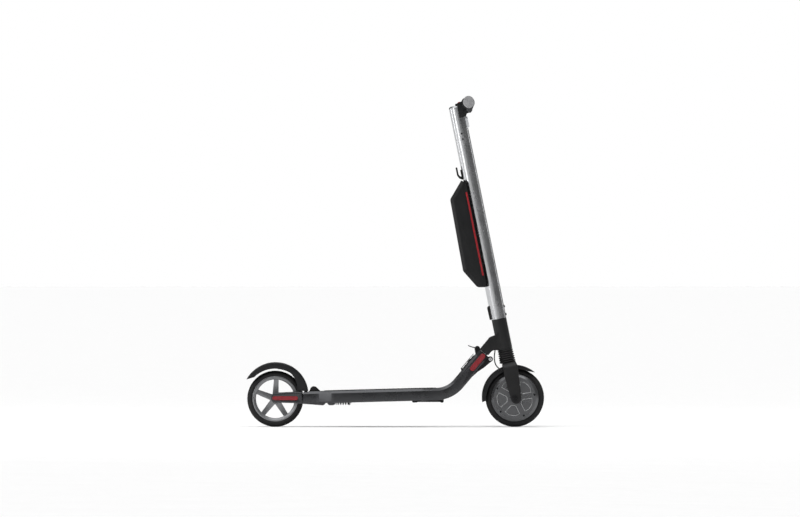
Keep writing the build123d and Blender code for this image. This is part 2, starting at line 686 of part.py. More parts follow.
# mudguard: crescent side view, channel section
FENDER_CENTRE, FENDER_R, FENDER_HALF_W = (-409.5, 108.0), 113.0, 30.0
FENDER_FOOT = 122.8               # height of the mudguard's front end
foot_x = FENDER_CENTRE[0] + (FENDER_R**2 - (FENDER_FOOT - FENDER_CENTRE[1]) ** 2) ** 0.5
with BuildPart() as rear_fender:
    with BuildSketch(Plane.XZ) as fender_side:
        with BuildLine():
            crest = ThreePointArc((-508.6, 162.3), (-409.5, 221), (foot_x, FENDER_FOOT))
            foot = Line(crest @ 1, (-335, FENDER_FOOT))
            skirt = ThreePointArc(
                (-335, FENDER_FOOT), (-339.5, 157), (-361.6, 186.9)
            )
            skirt_top = ThreePointArc(skirt @ 1, (-413, 199), (-481.5, 170.1))
            Line(skirt_top @ 1, crest @ 0)
        make_face()
    extrude(amount=FENDER_HALF_W, both=True)
    outer_rims = rear_fender.edges().filter_by(
        lambda e: abs(e.center().Y) > 29 and e.radius > 112 if e.geom_type == GeomType.CIRCLE else False
    )
    fillet(outer_rims, 5)
    with BuildSketch(Plane.XZ):
        with Locations(FENDER_CENTRE):
            Circle(FENDER_R - 2.8)
    extrude(amount=FENDER_HALF_W - 2.6, both=True, mode=Mode.SUBTRACT)
    for face, way in pair(Plane.XZ, 13.9):
        with BuildSketch(face):
            with Locations(FENDER_PIN):
                Circle(6)
            with BuildLine():
                Polyline(
                    (FENDER_PIN[0] - 6, FENDER_PIN[1]), (FENDER_PIN[0] + 6, FENDER_PIN[1]),
                    (-299.8, 123), (-299.8, 130), (-303, 140), (-312, 128), close=True,
                )
            make_face()
        extrude(amount=way * 6)
    with BuildSketch(Plane.XZ):
        with Locations(FENDER_PIN):
            Circle(3 + RUNNING)
    extrude(amount=25, both=True, mode=Mode.SUBTRACT)
rear_fender.part.label = "rear_fender"
export_step(rear_fender.part, "parts/rear_fender.step")

with BuildPart() as brake_pad:
    with BuildSketch(REAR_SIDE):
        with BuildLine():
            pad_face = CenterArc((0, 0), 102, 62, 24)
            pad_back = CenterArc((0, 0), 130, 62, 24)
            Line(pad_face @ 0, pad_back @ 0)
            Line(pad_face @ 1, pad_back @ 1)
        make_face()
    extrude(amount=14, both=True)
    with BuildSketch(Plane.XZ):
        with Locations(FENDER_CENTRE):
            Circle(FENDER_R - 2.8)
    extrude(amount=20, both=True, mode=Mode.INTERSECT)
brake_pad.part.label = "brake_pad"
export_step(brake_pad.part, "parts/brake_pad.step")


# ================================================================ folding head
with BuildPart() as head_casting:
    with BuildSketch(Plane.XZ) as casting_side:
        with BuildLine():
            Polyline(
                on_neck(NECK_LIP + GAP, HALF_THICK - 0.6), (307, 287), (323, 306.5),
                on_stem(-23, 223), on_stem(-5, 240), on_stem(-5, 170), on_stem(-23, 170),
                (334.5, 261.6), (327.6, 256.5), (319.1, 246),
                on_neck(NECK_LIP + GAP, -10), close=True,
            )
        make_face()
        fillet(casting_side.vertices().filter_by(lambda v: 250 < v.Y < 312 and 310 < v.X < 336), 4)
    extrude(amount=NECK_HALF_W - 1, both=True)
    with BuildSketch(Plane.XY) as casting_plan:
        with BuildLine():
            Polyline((262, 0), (262, 38.5), (300, 37.5), (350, 24), (390, 22), (390, 0))
            mirror(about=Plane.XZ)
        make_face()
    extrude(amount=400, mode=Mode.INTERSECT)
    with BuildSketch(STEM.offset(HEAD_S[0])):
        Circle(HEAD_R)
    extrude(amount=HEAD_S[1] - HEAD_S[0])
    for face, way in pair(NECK, KNUCKLES[1]):
        with BuildSketch(face):
            with Locations(HINGE_ON_NECK):
                Circle(KNUCKLE_R)
        extrude(amount=way * (KNUCKLES[2] - KNUCKLES[1]))
    with BuildSketch(NECK):
        with Locations(HINGE_ON_NECK):
            Circle(KNUCKLE_R + 0.5)
    extrude(amount=KNUCKLES[1], both=True, mode=Mode.SUBTRACT)
    for face, way in pair(NECK, KNUCKLES[2]):
        with BuildSketch(face):
            with Locations(HINGE_ON_NECK):
                Circle(KNUCKLE_R + 0.5)
        extrude(amount=way * (KNUCKLES[4] + 3.2 - KNUCKLES[2]), mode=Mode.SUBTRACT)
    with BuildSketch(NECK):
        with Locations(HINGE_ON_NECK):
            Circle(PIN_R + RUNNING)
    extrude(amount=20, both=True, mode=Mode.SUBTRACT)
    with BuildSketch(STEM.offset(HEAD_S[0] - 1)):
        Circle(STEERER_R + 1)
    extrude(amount=HEAD_S[1] - HEAD_S[0] + 2, mode=Mode.SUBTRACT)
    for s in (HEAD_S[0] - 1, HEAD_S[1] - 10):
        with BuildSketch(STEM.offset(s)):
            Circle(20)
        extrude(amount=11, mode=Mode.SUBTRACT)
head_casting.part.label = "head_casting"
export_step(head_casting.part, "parts/head_casting.step")

with BuildPart() as headset_bearings:
    for s in (HEAD_S[0] + 0.5, HEAD_S[1] - 9.5):
        with BuildSketch(STEM.offset(s)):
            Circle(19.95)
            Circle(STEERER_R + RUNNING, mode=Mode.SUBTRACT)
        extrude(amount=9)
headset_bearings.part.label = "headset_bearings"
export_step(headset_bearings.part, "parts/headset_bearings.step")

# motor lead from the casting down to the right fork leg
LEAD_R = 2.0
LEAD_ROUTE = (
    (341.3, -6, 261.0), (338.6, -9, 243), (339.4, -17, 225),
    (344.0, -29, 210), (354, -41, 200), (366.6, -50, 193.5),
)
with BuildPart() as motor_cable:
    with BuildLine() as lead_line:
        FilletPolyline(*LEAD_ROUTE, radius=14)
    with BuildSketch(Plane(origin=LEAD_ROUTE[0], z_dir=Vector(*LEAD_ROUTE[1]) - Vector(*LEAD_ROUTE[0]))):
        Circle(LEAD_R)
    sweep()
motor_cable.part.label = "motor_cable"
export_step(motor_cable.part, "parts/motor_cable.step")

# ================================================================ steering column
FRONT_SCREWS_S = (286, 313.5)     # clamp screws at the foot of the tube


def stem_front_plane(n, s):
    """A plane that faces forward, at a point forward of and along the steering axis."""
    return Plane(origin=STEM_SIDE.from_local_coords(Vector(n, s, 0)), x_dir=(0, 1, 0), z_dir=FORE_STEM)


with BuildPart() as steerer_tube:
    with BuildSketch(STEM.offset(166)):
        Circle(STEERER_R)
    extrude(amount=276 - 166)
    with BuildSketch(STEM.offset(276)):
        Circle(STEM_BORE - 0.02)
    extrude(amount=54)
    with BuildSketch(STEM.offset(165)):
        Circle(POST_R + RUNNING)
    extrude(amount=157, mode=Mode.SUBTRACT)
    for s in FRONT_SCREWS_S:
        with BuildSketch(stem_front_plane(0, s)):
            Circle(3)
        extrude(amount=40, mode=Mode.SUBTRACT)
steerer_tube.part.label = "steerer_tube"
export_step(steerer_tube.part, "parts/steerer_tube.step")

HOUSING_S = 975.0                 # the head housing replaces the tube's front above this
SIDE_SCREWS_S = (901, 921)
with BuildPart() as stem_tube:
    with BuildSketch(STEM.offset(STEM_S[0])):
        Circle(STEM_R)
    extrude(amount=STEM_S[1] - STEM_S[0])
    fillet(stem_tube.faces().sort_by(STEM_AXIS)[-1].edges(), 8)
    with BuildSketch(STEM.offset(STEM_S[0] - 1)):
        Circle(STEM_BORE)
    extrude(amount=STEM_S[1] - STEM_S[0] - 8, mode=Mode.SUBTRACT)
    with BuildSketch(STEM_SIDE):
        with Locations((3 + 20, HOUSING_S + 40)):
            Rectangle(40, 80)
    extrude(amount=40, both=True, mode=Mode.SUBTRACT)
    for s in FRONT_SCREWS_S:
        with BuildSketch(stem_front_plane(0, s)):
            Circle(3)
        extrude(amount=40, mode=Mode.SUBTRACT)
    with BuildSketch(STEM_SIDE):
        with Locations(*[(0, s) for s in SIDE_SCREWS_S]):
            Circle(2)
    extrude(amount=40, both=True, mode=Mode.SUBTRACT)
stem_tube.part.label = "stem_tube"
export_step(stem_tube.part, "parts/stem_tube.step")

with BuildPart() as stem_screws:
    for s in FRONT_SCREWS_S:
        screw_seat = stem_front_plane(14, s)
        with BuildSketch(screw_seat):
            Circle(3)
        extrude(amount=12.6)
        with BuildSketch(screw_seat.offset(12.2)):
            Circle(4.2)
        extrude(amount=2.6)
        with BuildSketch(screw_seat.offset(14.8)):
            RegularPolygon(2.2, 6)
        extrude(amount=-1.6, mode=Mode.SUBTRACT)
    for face, way in pair(STEM_SIDE, 22):
        with BuildSketch(face):
            with Locations(*[(0, s) for s in SIDE_SCREWS_S]):
                Circle(2)
        extrude(amount=way * 4.2)
        with BuildSketch(face.offset(way * 4.05)):
            with Locations(*[(0, s) for s in SIDE_SCREWS_S]):
                Circle(3)
        extrude(amount=way * 1.2)
stem_screws.part.label = "stem_screws"
export_step(stem_screws.part, "parts/stem_screws.step")

with BuildPart() as handlebar:
    with BuildSketch(STEM_SIDE):
        with Locations(BAR_CENTRE):
            Circle(BAR_R)
            Circle(BAR_R - 2.5, mode=Mode.SUBTRACT)
    extrude(amount=CAP_Y, both=True)
handlebar.part.label = "handlebar"
export_step(handlebar.part, "parts/handlebar.step")

DISPLAY = Plane(
    origin=STEM_SIDE.from_local_coords(Vector(10, 1026.2, 0)),
    x_dir=STEM_SIDE.from_local_coords(Vector(1, 0.22, 0)) - STEM_SIDE.origin,
    z_dir=STEM_SIDE.from_local_coords(Vector(-0.22, 1, 0)) - STEM_SIDE.origin,
)
BUTTON_SPOT = (1.5, -18.5)
with BuildPart() as head_housing:
    with BuildSketch(STEM_SIDE) as housing_side:
        with BuildLine():
            Polyline(
                (3, HOUSING_S), (26.2, HOUSING_S), (31, 984.5), (42, 986.8), (51, 992.5), (58, 1003),
                (62, 1012), BAR_CENTRE, (40, 1040), (27, 1036), (20, 1028.4), (-2.1, 1023.5),
                (-2.1, STEM_S[1] + 0.02), (3, STEM_S[1] + 0.02), close=True,
            )
        make_face()
        with Locations(BAR_CENTRE):
            Circle(21)
    extrude(amount=25, both=True)
    with BuildSketch(STEM_SIDE):
        with Locations(BAR_CENTRE):
            Circle(BAR_R)
    extrude(amount=40, both=True, mode=Mode.SUBTRACT)
    with BuildSketch(DISPLAY.offset(-1.2)):
        with Locations((1.5, 5)):
            RectangleRounded(14.4, 30.4, 3.2)
    extrude(amount=10, mode=Mode.SUBTRACT)
    with BuildSketch(DISPLAY.offset(-4.4)):
        with Locations(BUTTON_SPOT):
            Circle(4.3)
    extrude(amount=12, mode=Mode.SUBTRACT)
head_housing.part.label = "head_housing"
export_step(head_housing.part, "parts/head_housing.step")

with BuildPart() as display:
    with BuildSketch(DISPLAY.offset(-1.2)):
        with Locations((1.5, 5)):
            RectangleRounded(14, 30, 3)
    extrude(amount=1.8)
display.part.label = "display"
export_step(display.part, "parts/display.step")

with BuildPart() as power_button:
    with BuildSketch(DISPLAY.offset(-2.6)):
        with Locations(BUTTON_SPOT):
            Circle(4)
    extrude(amount=4.4)
    fillet(power_button.faces().sort_by(Axis(DISPLAY.origin, DISPLAY.z_dir))[-1].edges(), 0.8)
power_button.part.label = "power_button"
export_step(power_button.part, "parts/power_button.step")

with BuildPart() as headlight:
    with BuildSketch(stem_front_plane(15, 956)):
        RectangleRounded(27, 37.6, 8)
    extrude(amount=16)
    fillet(headlight.faces().sort_by(Axis(FRONT_AXLE, FORE_STEM))[-1].edges(), 2)
    with BuildSketch(STEM.offset(900)):
        Circle(STEM_R)
    extrude(amount=120, mode=Mode.SUBTRACT)
headlight.part.label = "headlight"
export_step(headlight.part, "parts/headlight.step")

with BuildPart() as grips:
    for face, way in pair(STEM_SIDE, GRIP_Y):
        with BuildSketch(face):
            with Locations(BAR_CENTRE):
                Ellipse(18, 19.8)
                Circle(BAR_R, mode=Mode.SUBTRACT)
        extrude(amount=way * (CAP_Y - GRIP_Y))
grips.part.label = "grips"
export_step(grips.part, "parts/grips.step")

with BuildPart() as grip_caps:
    for face, way in pair(STEM_SIDE, CAP_Y):
        with BuildSketch(face):
            with Locations(BAR_CENTRE):
                Ellipse(19, 21)
        extrude(amount=way * (END_Y - CAP_Y))
    fillet(grip_caps.faces().filter_by(Axis.Y).sort_by(Axis.Y)[0].edges(), 2.5)
    fillet(grip_caps.faces().filter_by(Axis.Y).sort_by(Axis.Y)[-1].edges(), 2.5)
grip_caps.part.label = "grip_caps"
export_step(grip_caps.part, "parts/grip_caps.step")

POD_Y, LEVER_Y = (56.0, 70.0), (70.4, 83.6)
with BuildPart() as control_pods:
    for face, way in pair(STEM_SIDE, POD_Y[0]):
        with BuildSketch(face):
            with Locations(BAR_CENTRE):
                Circle(21.5)
                Circle(BAR_R, mode=Mode.SUBTRACT)
        extrude(amount=way * (POD_Y[1] - POD_Y[0]))
    fillet(control_pods.edges().filter_by(lambda e: e.geom_type == GeomType.CIRCLE and e.radius > 20), 2)
control_pods.part.label = "control_pods"
export_step(control_pods.part, "parts/control_pods.step")


def lever_outline():
    """Points of a thumb lever's paddle, hanging below the bar in the stem's side plane."""
    n, s = BAR_CENTRE
    left = [(n - 10, s - 10), (n - 11, s - 25), (n - 6, s - 32)]
    return [*left, (n + 2, s - 33), (n + 8, s - 29), (n + 12, s - 9)]


with BuildPart() as throttle_lever:
    with BuildSketch(STEM_SIDE.offset(LEVER_Y[0])) as lever_side:
        with BuildLine():
            Polyline(*lever_outline(), close=True)
        make_face()
        fillet(lever_side.vertices().filter_by(lambda v: v.Y < BAR_CENTRE[1] - 20), 3)
        with Locations(BAR_CENTRE):
            Circle(16.5)
            Circle(BAR_R + RUNNING, mode=Mode.SUBTRACT)
    extrude(amount=LEVER_Y[1] - LEVER_Y[0])
throttle_lever.part.label = "throttle_lever"
export_step(throttle_lever.part, "parts/throttle_lever.step")

with BuildPart() as brake_lever:
    with BuildSketch(STEM_SIDE.offset(-LEVER_Y[1])) as lever_side:
        with BuildLine():
            Polyline(*lever_outline(), close=True)
        make_face()
        fillet(lever_side.vertices().filter_by(lambda v: v.Y < BAR_CENTRE[1] - 20), 3)
        with Locations(BAR_CENTRE):
            Circle(16.5)
            Circle(BAR_R + RUNNING, mode=Mode.SUBTRACT)
    extrude(amount=LEVER_Y[1] - LEVER_Y[0])
brake_lever.part.label = "brake_lever"
export_step(brake_lever.part, "parts/brake_lever.step")

with BuildPart() as bag_hook:
    with BuildSketch(STEM_SIDE) as hook_side:
        with BuildLine():
            Polyline(
                (-20, 766), (-29, 766), (-38, 772), (-43.5, 783), (-43.5, 811), (-37.5, 811), (-37.5, 786),
                (-34, 779), (-29.5, 777), (-29.5, 800), (-20, 800), close=True,
            )
        make_face()
        fillet(hook_side.vertices().filter_by(lambda v: v.X < -30), 2.5)
    extrude(amount=7, both=True)
    with BuildSketch(STEM.offset(740)):
        Circle(STEM_R)
    extrude(amount=100, mode=Mode.SUBTRACT)
bag_hook.part.label = "bag_hook"
export_step(bag_hook.part, "parts/bag_hook.step")

with BuildPart() as cable_cover:
    with BuildSketch(STEM_SIDE) as cover_side:
        with BuildLine():
            Polyline((-15, 277), (-31.5, 277), (-32.4, 320), (-26, 325), (-15, 325), close=True)
        make_face()
    extrude(amount=11, both=True)
    fillet(cable_cover.edges().filter_by(lambda e: STEM_SIDE.to_local_coords(e.center()).X < -30), 2.5)
    with BuildSketch(STEM.offset(260)):
        Circle(STEM_R)
    extrude(amount=100, mode=Mode.SUBTRACT)
cable_cover.part.label = "cable_cover"
export_step(cable_cover.part, "parts/cable_cover.step")

# stem battery: saddle against the tube, deep cover behind it, light strips between
PACK_HALF_W = 34.0
SPLIT_N = -29.5
STRIP_S = (430.0, 722.0)
PACK_OUTLINE = (
    (-18, 404), (-24, 390), (-51, 395), (-88, 459), (-83, 708), (-33, 764), (-18, 752),
)
with BuildPart() as battery_saddle:
    with BuildSketch(STEM_SIDE) as saddle_side:
        with BuildLine():
            Polyline(*PACK_OUTLINE, close=True)
        make_face()
        fillet(saddle_side.vertices(), 5)
        with Locations((-60 + SPLIT_N, 580)):
            Rectangle(120, 500, mode=Mode.SUBTRACT)
    extrude(amount=PACK_HALF_W, both=True)
    with BuildSketch(STEM.offset(300)):
        Circle(STEM_R + 0.02)
    extrude(amount=600, mode=Mode.SUBTRACT)
    strip_mid, strip_len = sum(STRIP_S) / 2, STRIP_S[1] - STRIP_S[0]
    for face, way in pair(STEM_SIDE, PACK_HALF_W - 1.2):
        with BuildSketch(face):
            with Locations((-24, strip_mid)):
                SlotOverall(strip_len, 6.2, rotation=90)
        extrude(amount=way * 4, mode=Mode.SUBTRACT)
battery_saddle.part.label = "battery_saddle"
export_step(battery_saddle.part, "parts/battery_saddle.step")

with BuildPart() as battery_cover:
    with BuildSketch(STEM_SIDE) as pack_side:
        with BuildLine():
            Polyline(*PACK_OUTLINE, close=True)
        make_face()
        fillet(pack_side.vertices().filter_by(lambda v: v.X < -45), 16)
        with Locations((60 + SPLIT_N, 580)):
            Rectangle(120, 500, mode=Mode.SUBTRACT)
    extrude(amount=PACK_HALF_W, both=True)
    back_rims = battery_cover.faces().filter_by(Axis.Y).edges().filter_by(
        lambda e: STEM_SIDE.to_local_coords(e.center()).X < -40
    )
    chamfer(back_rims, 11)
    with BuildSketch(STEM_SIDE):
        with BuildLine():
            Polyline(
                (SPLIT_N + 1, 404), (-52, 408), (-79, 462), (-74.5, 700),
                (SPLIT_N - 4, 748), (SPLIT_N + 1, 748), close=True,
            )
        make_face()
    extrude(amount=PACK_HALF_W - 10, both=True, mode=Mode.SUBTRACT)
battery_cover.part.label = "battery_cover"
export_step(battery_cover.part, "parts/battery_cover.step")

with BuildPart() as battery_strips:
    for face, way in pair(STEM_SIDE, PACK_HALF_W - 1.2):
        with BuildSketch(face):
            with Locations((-24, strip_mid)):
                SlotOverall(strip_len - 0.4, 5.8, rotation=90)
        extrude(amount=way * 1.9)
battery_strips.part.label = "battery_strips"
export_step(battery_strips.part, "parts/battery_strips.step")

with BuildPart() as battery_cells:
    with BuildSketch(STEM_SIDE):
        with Locations(*[(-43, 440 + 20 * i) for i in range(14)]):
            Circle(9.2)
        with Locations(*[(-63, 460 + 20 * i) for i in range(12)]):
            Circle(9.2)
    extrude(amount=PACK_HALF_W - 11, both=True)
battery_cells.part.label = "battery_cells"
export_step(battery_cells.part, "parts/battery_cells.step")

BELLOWS_S = (122.3, 167.7)
RIBS = 6
with BuildPart() as bellows:
    pitch = (BELLOWS_S[1] - BELLOWS_S[0]) / RIBS
    zigzag = []
    for i in range(RIBS):
        s = BELLOWS_S[0] + i * pitch
        crest = 28.5 - 2.0 * i / (RIBS - 1)
        zigzag += [(crest - 3.5, s), (crest, s + pitch / 2)]
    with BuildSketch(STEM_SIDE):
        with BuildLine():
            Polyline(*zigzag, (23, BELLOWS_S[1]), (20, BELLOWS_S[1]), (20, BELLOWS_S[0]), close=True)
        make_face()
    revolve(axis=STEM_AXIS)
bellows.part.label = "bellows"
export_step(bellows.part, "parts/bellows.step")

# ================================================================ sprung fork
LEG_Y = (46.0, 60.0)
with BuildPart() as fork:
    with BuildSketch(STEM_SIDE) as fork_side:
        with BuildLine():
            Polyline((-20.8, CROWN_S[1]), (-20.8, 80), (-18, 40), (-13.6, -5))
            ThreePointArc((-13.6, -5), (3.4, -21.6), (20.2, -5))
            Polyline(
                (20.2, -5), (23.7, 18), (26, 58), (29, 80), (30.4, 108),
                (26.5, CROWN_S[1]), (-20.8, CROWN_S[1]),
            )
        make_face()
    extrude(amount=LEG_Y[1], both=True)
    with BuildSketch(STEM_FRONT) as fork_front:
        with BuildLine():
            Polyline(
                (-LEG_Y[1], -30), (-LEG_Y[1], CROWN_S[1]), (LEG_Y[1], CROWN_S[1]), (LEG_Y[1], -30),
                (LEG_Y[0], -30), (LEG_Y[0], CROWN_S[0]), (-LEG_Y[0], CROWN_S[0]), (-LEG_Y[0], -30),
                close=True,
            )
        make_face()
        fillet(fork_front.vertices().group_by(Axis.Y)[-1], 22)
        fillet(fork_front.vertices().filter_by(lambda v: abs(abs(v.X) - LEG_Y[0]) < 1 and v.Y > 100), 5)
    extrude(amount=60, both=True, mode=Mode.INTERSECT)
    outer_edges = fork.edges().filter_by(lambda e: abs(e.center().Y) > LEG_Y[1] - 0.1 and e.length > 5)
    fillet(outer_edges, 4.5)
    with BuildSketch(STEM.offset(CROWN_S[0] + 1)):
        Circle(POST_R)
    extrude(amount=260 - CROWN_S[0] - 1)
    with BuildSketch(FRONT_SIDE):
        Circle(AXLE_R)
    extrude(amount=80, both=True, mode=Mode.SUBTRACT)
fork.part.label = "fork"
export_step(fork.part, "parts/fork.step")

GUARD_R, GUARD_HALF_W = 113.0, 27.0


def guard_point(angle, radius):
    """A point of the front mudguard's side view about the axle."""
    return (radius * cos(radians(angle)), radius * sin(radians(angle)))


with BuildPart() as front_fender:
    with BuildSketch(FRONT_SIDE):
        with BuildLine():
            guard_front = guard_point(51.6, 110.5)
            guard_crest = ThreePointArc(guard_front, guard_point(115, GUARD_R), guard_point(188, 112.5))
            guard_low = ThreePointArc(guard_point(186, 99), guard_point(125, 96), guard_point(64, 100.5))
            Line(guard_low @ 1, guard_front)
            Line(guard_crest @ 1, guard_low @ 0)
        make_face()
    extrude(amount=GUARD_HALF_W, both=True)
    with BuildSketch(FRONT_SIDE):
        Circle(GUARD_R - 2.5)
    extrude(amount=GUARD_HALF_W - 2.4, both=True, mode=Mode.SUBTRACT)
    # stay that carries the mudguard under the crown
    with BuildSketch(STEM_SIDE):
        with Locations((0, (CROWN_S[0] + GUARD_R) / 2 - 0.6)):
            Rectangle(24, CROWN_S[0] - GUARD_R + 1.2)
    extrude(amount=14, both=True)
front_fender.part.label = "front_fender"
export_step(front_fender.part, "parts/front_fender.step")

with BuildPart() as front_axle_set:
    with BuildSketch(FRONT_SIDE):
        Circle(AXLE_R)
    extrude(amount=66, both=True)
    for face, way in pair(FRONT_SIDE, LEG_Y[1]):
        with BuildSketch(face):
            Circle(9)
        extrude(amount=way * 1.2)
        with BuildSketch(face.offset(way * 1.2)):
            RegularPolygon(8, 6)
        extrude(amount=way * 4)
    for face, way in pair(FRONT_SIDE, 30.6):
        with BuildSketch(face):
            Circle(10)
        extrude(amount=way * (LEG_Y[0] - 30.6))
front_axle_set.part.label = "front_axle_set"
export_step(front_axle_set.part, "parts/front_axle_set.step")

with BuildPart() as motor_stator:
    with BuildSketch(FRONT_SIDE):
        Circle(72)
        with PolarLocations(66, 24):
            Rectangle(16, 7, mode=Mode.SUBTRACT)
        Circle(AXLE_R, mode=Mode.SUBTRACT)
    extrude(amount=10, both=True)
motor_stator.part.label = "motor_stator"
export_step(motor_stator.part, "parts/motor_stator.step")

with BuildPart() as fork_spring:
    with BuildSketch(STEM.offset(260)):
        Circle(10)
        Circle(6.5, mode=Mode.SUBTRACT)
    extrude(amount=62)
fork_spring.part.label = "fork_spring"
export_step(fork_spring.part, "parts/fork_spring.step")

# ================================================================ hub motor and front tyre
HUB_R, HUB_FACE, HUB_SEAM = 81.0, 30.0, 14.0
FIRST_SCREW, SCREW_CIRCLE = 8.6, 68.0
POCKET = ((28, -8.5), (26, 0), (28, 8.5), (52, 25), (60, 13), (61.5, 0), (60, -13), (52, -25))
with BuildPart() as front_tyre:
    with BuildSketch(FRONT_DISC):
        with BuildLine():
            Polyline((88, 20.5), (HUB_R, 18), (HUB_R, -18), (88, -20.5))
            ThreePointArc((88, -20.5), (FRONT_TYRE_R, 0), (88, 20.5))
        make_face()
    revolve(axis=FRONT_SPIN)
front_tyre.part.label = "front_tyre"
export_step(front_tyre.part, "parts/front_tyre.step")


def hub_shell_outline(way, seam):
    """Radial section of one half of the motor housing, towards +Y or -Y."""
    return [
        (HUB_R, seam), (HUB_R, way * 22), (72, way * HUB_FACE), (13, way * HUB_FACE), (13, way * 20),
        (19, way * 20), (19, way * 26), (70, way * 26), (77, way * 20), (77, seam),
    ]


with BuildPart() as motor_shell:
    with BuildSketch(FRONT_DISC):
        with BuildLine():
            Polyline(*hub_shell_outline(1, -HUB_SEAM), close=True)
        make_face()
    revolve(axis=FRONT_SPIN)
    with BuildSketch(FRONT_SIDE.offset(-HUB_FACE)):
        with PolarLocations(0, 5, start_angle=FIRST_SCREW + 36):
            Polygon(*POCKET, align=None)
    extrude(amount=2.4, mode=Mode.SUBTRACT)
motor_shell.part.label = "motor_shell"
export_step(motor_shell.part, "parts/motor_shell.step")

with BuildPart() as motor_cover:
    with BuildSketch(FRONT_DISC):
        with BuildLine():
            Polyline(*hub_shell_outline(-1, -HUB_SEAM), close=True)
        make_face()
    revolve(axis=FRONT_SPIN)
    with BuildSketch(FRONT_SIDE.offset(HUB_FACE)):
        with PolarLocations(0, 5, start_angle=FIRST_SCREW + 36):
            Polygon(*POCKET, align=None)
    extrude(amount=-2.4, mode=Mode.SUBTRACT)
    with BuildSketch(FRONT_SIDE.offset(HUB_FACE)):
        with PolarLocations(SCREW_CIRCLE, 5, start_angle=FIRST_SCREW):
            Circle(1.8)
    extrude(amount=-20, mode=Mode.SUBTRACT)
motor_cover.part.label = "motor_cover"
export_step(motor_cover.part, "parts/motor_cover.step")

with BuildPart() as motor_screws:
    with BuildSketch(FRONT_SIDE.offset(HUB_FACE)):
        with PolarLocations(SCREW_CIRCLE, 5, start_angle=FIRST_SCREW):
            Circle(3.6)
    extrude(amount=1.8)
    with BuildSketch(FRONT_SIDE.offset(HUB_FACE + 1.8)):
        with PolarLocations(SCREW_CIRCLE, 5, start_angle=FIRST_SCREW):
            RegularPolygon(1.8, 6)
    extrude(amount=-1.2, mode=Mode.SUBTRACT)
    with BuildSketch(FRONT_SIDE.offset(HUB_FACE)):
        with PolarLocations(SCREW_CIRCLE, 5, start_angle=FIRST_SCREW):
            Circle(1.8)
    extrude(amount=-8)
motor_screws.part.label = "motor_screws"
export_step(motor_screws.part, "parts/motor_screws.step")

with BuildPart() as front_bearings:
    for face, way in pair(FRONT_SIDE, 20.4):
        with BuildSketch(face):
            Circle(12.95)
            Circle(AXLE_R + RUNNING, mode=Mode.SUBTRACT)
        extrude(amount=way * 9)
front_bearings.part.label = "front_bearings"
export_step(front_bearings.part, "parts/front_bearings.step")
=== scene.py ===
"""Looks for the electric kick scooter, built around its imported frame.

Metres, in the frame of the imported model: +X forward, +Y to the rider's left, +Z up.
"""
import json
from math import atan2, cos, pi, radians, sin, tau

import bmesh
import bpy
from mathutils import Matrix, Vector


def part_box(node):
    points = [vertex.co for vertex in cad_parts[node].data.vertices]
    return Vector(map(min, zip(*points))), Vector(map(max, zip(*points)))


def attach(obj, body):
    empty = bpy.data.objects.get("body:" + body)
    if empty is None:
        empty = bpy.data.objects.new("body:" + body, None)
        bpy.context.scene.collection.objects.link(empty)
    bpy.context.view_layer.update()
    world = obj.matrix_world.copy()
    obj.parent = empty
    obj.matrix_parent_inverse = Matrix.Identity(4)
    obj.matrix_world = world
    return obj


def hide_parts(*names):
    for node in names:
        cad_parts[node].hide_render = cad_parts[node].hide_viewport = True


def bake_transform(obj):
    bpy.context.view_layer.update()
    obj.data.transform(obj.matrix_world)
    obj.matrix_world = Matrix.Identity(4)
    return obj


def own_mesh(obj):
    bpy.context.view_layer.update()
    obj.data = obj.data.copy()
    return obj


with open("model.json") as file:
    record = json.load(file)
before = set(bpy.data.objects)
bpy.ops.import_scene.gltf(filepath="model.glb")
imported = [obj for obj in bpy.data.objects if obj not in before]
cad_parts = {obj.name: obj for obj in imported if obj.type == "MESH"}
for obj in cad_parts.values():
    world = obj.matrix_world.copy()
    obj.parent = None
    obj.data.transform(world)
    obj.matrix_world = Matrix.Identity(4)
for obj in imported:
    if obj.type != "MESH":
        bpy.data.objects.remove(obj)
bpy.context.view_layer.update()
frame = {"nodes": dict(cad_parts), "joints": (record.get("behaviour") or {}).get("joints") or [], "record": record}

# ---------------------------------------------------------------- places read from the frame
MM = 0.001
JOINTS = {joint["name"]: joint for joint in frame["joints"]}
MOUNTS = {mount["name"]: mount for mount in frame["record"]["mounts"]}
FRONT_AXLE = Vector(JOINTS["front_wheel_spin"]["pos_m"])
REAR_AXLE = Vector(JOINTS["rear_wheel_spin"]["pos_m"])
BAR = Vector(JOINTS["throttle_press"]["pos_m"])
SIDE = Vector((0, 1, 0))
UP_STEM = Vector(JOINTS["steer"]["axis"]).normalized()
FORE_STEM = SIDE.cross(UP_STEM)
DECK_TOP = Vector(MOUNTS["deck_top"]["pos_m"])
DECK_UP = Vector(MOUNTS["deck_top"]["axis"]).normalized()
DECK_FORE = SIDE.cross(DECK_UP)
SLOT_OF = {part["node"]: part["material_slot"] for part in frame["record"]["subparts"]}
BODY_OF = {node: body for body, nodes in frame["record"]["behaviour"]["bodies"].items() for node in nodes}


def middle(node):
    """Centre of a CAD node's box."""
    low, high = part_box(node)
    return (low + high) / 2


# ---------------------------------------------------------------- camera, floor and light
VIEW_CENTRE = Vector((0.0164, 0.0, 0.5756))
VIEW_DISTANCE, VIEW_WIDTH, SENSOR = 30.0, 2.736, 36.0


def camera():
    """Long lens at the side, level with the middle of the picture."""
    data = bpy.data.cameras.new("camera")
    data.sensor_width = SENSOR
    data.lens = SENSOR * VIEW_DISTANCE / VIEW_WIDTH
    data.clip_end = 400.0
    cam = bpy.data.objects.new("camera", data)
    cam.location = VIEW_CENTRE - SIDE * VIEW_DISTANCE
    cam.rotation_euler = (pi / 2, 0, 0)
    bpy.context.scene.collection.objects.link(cam)
    bpy.context.scene.camera = cam


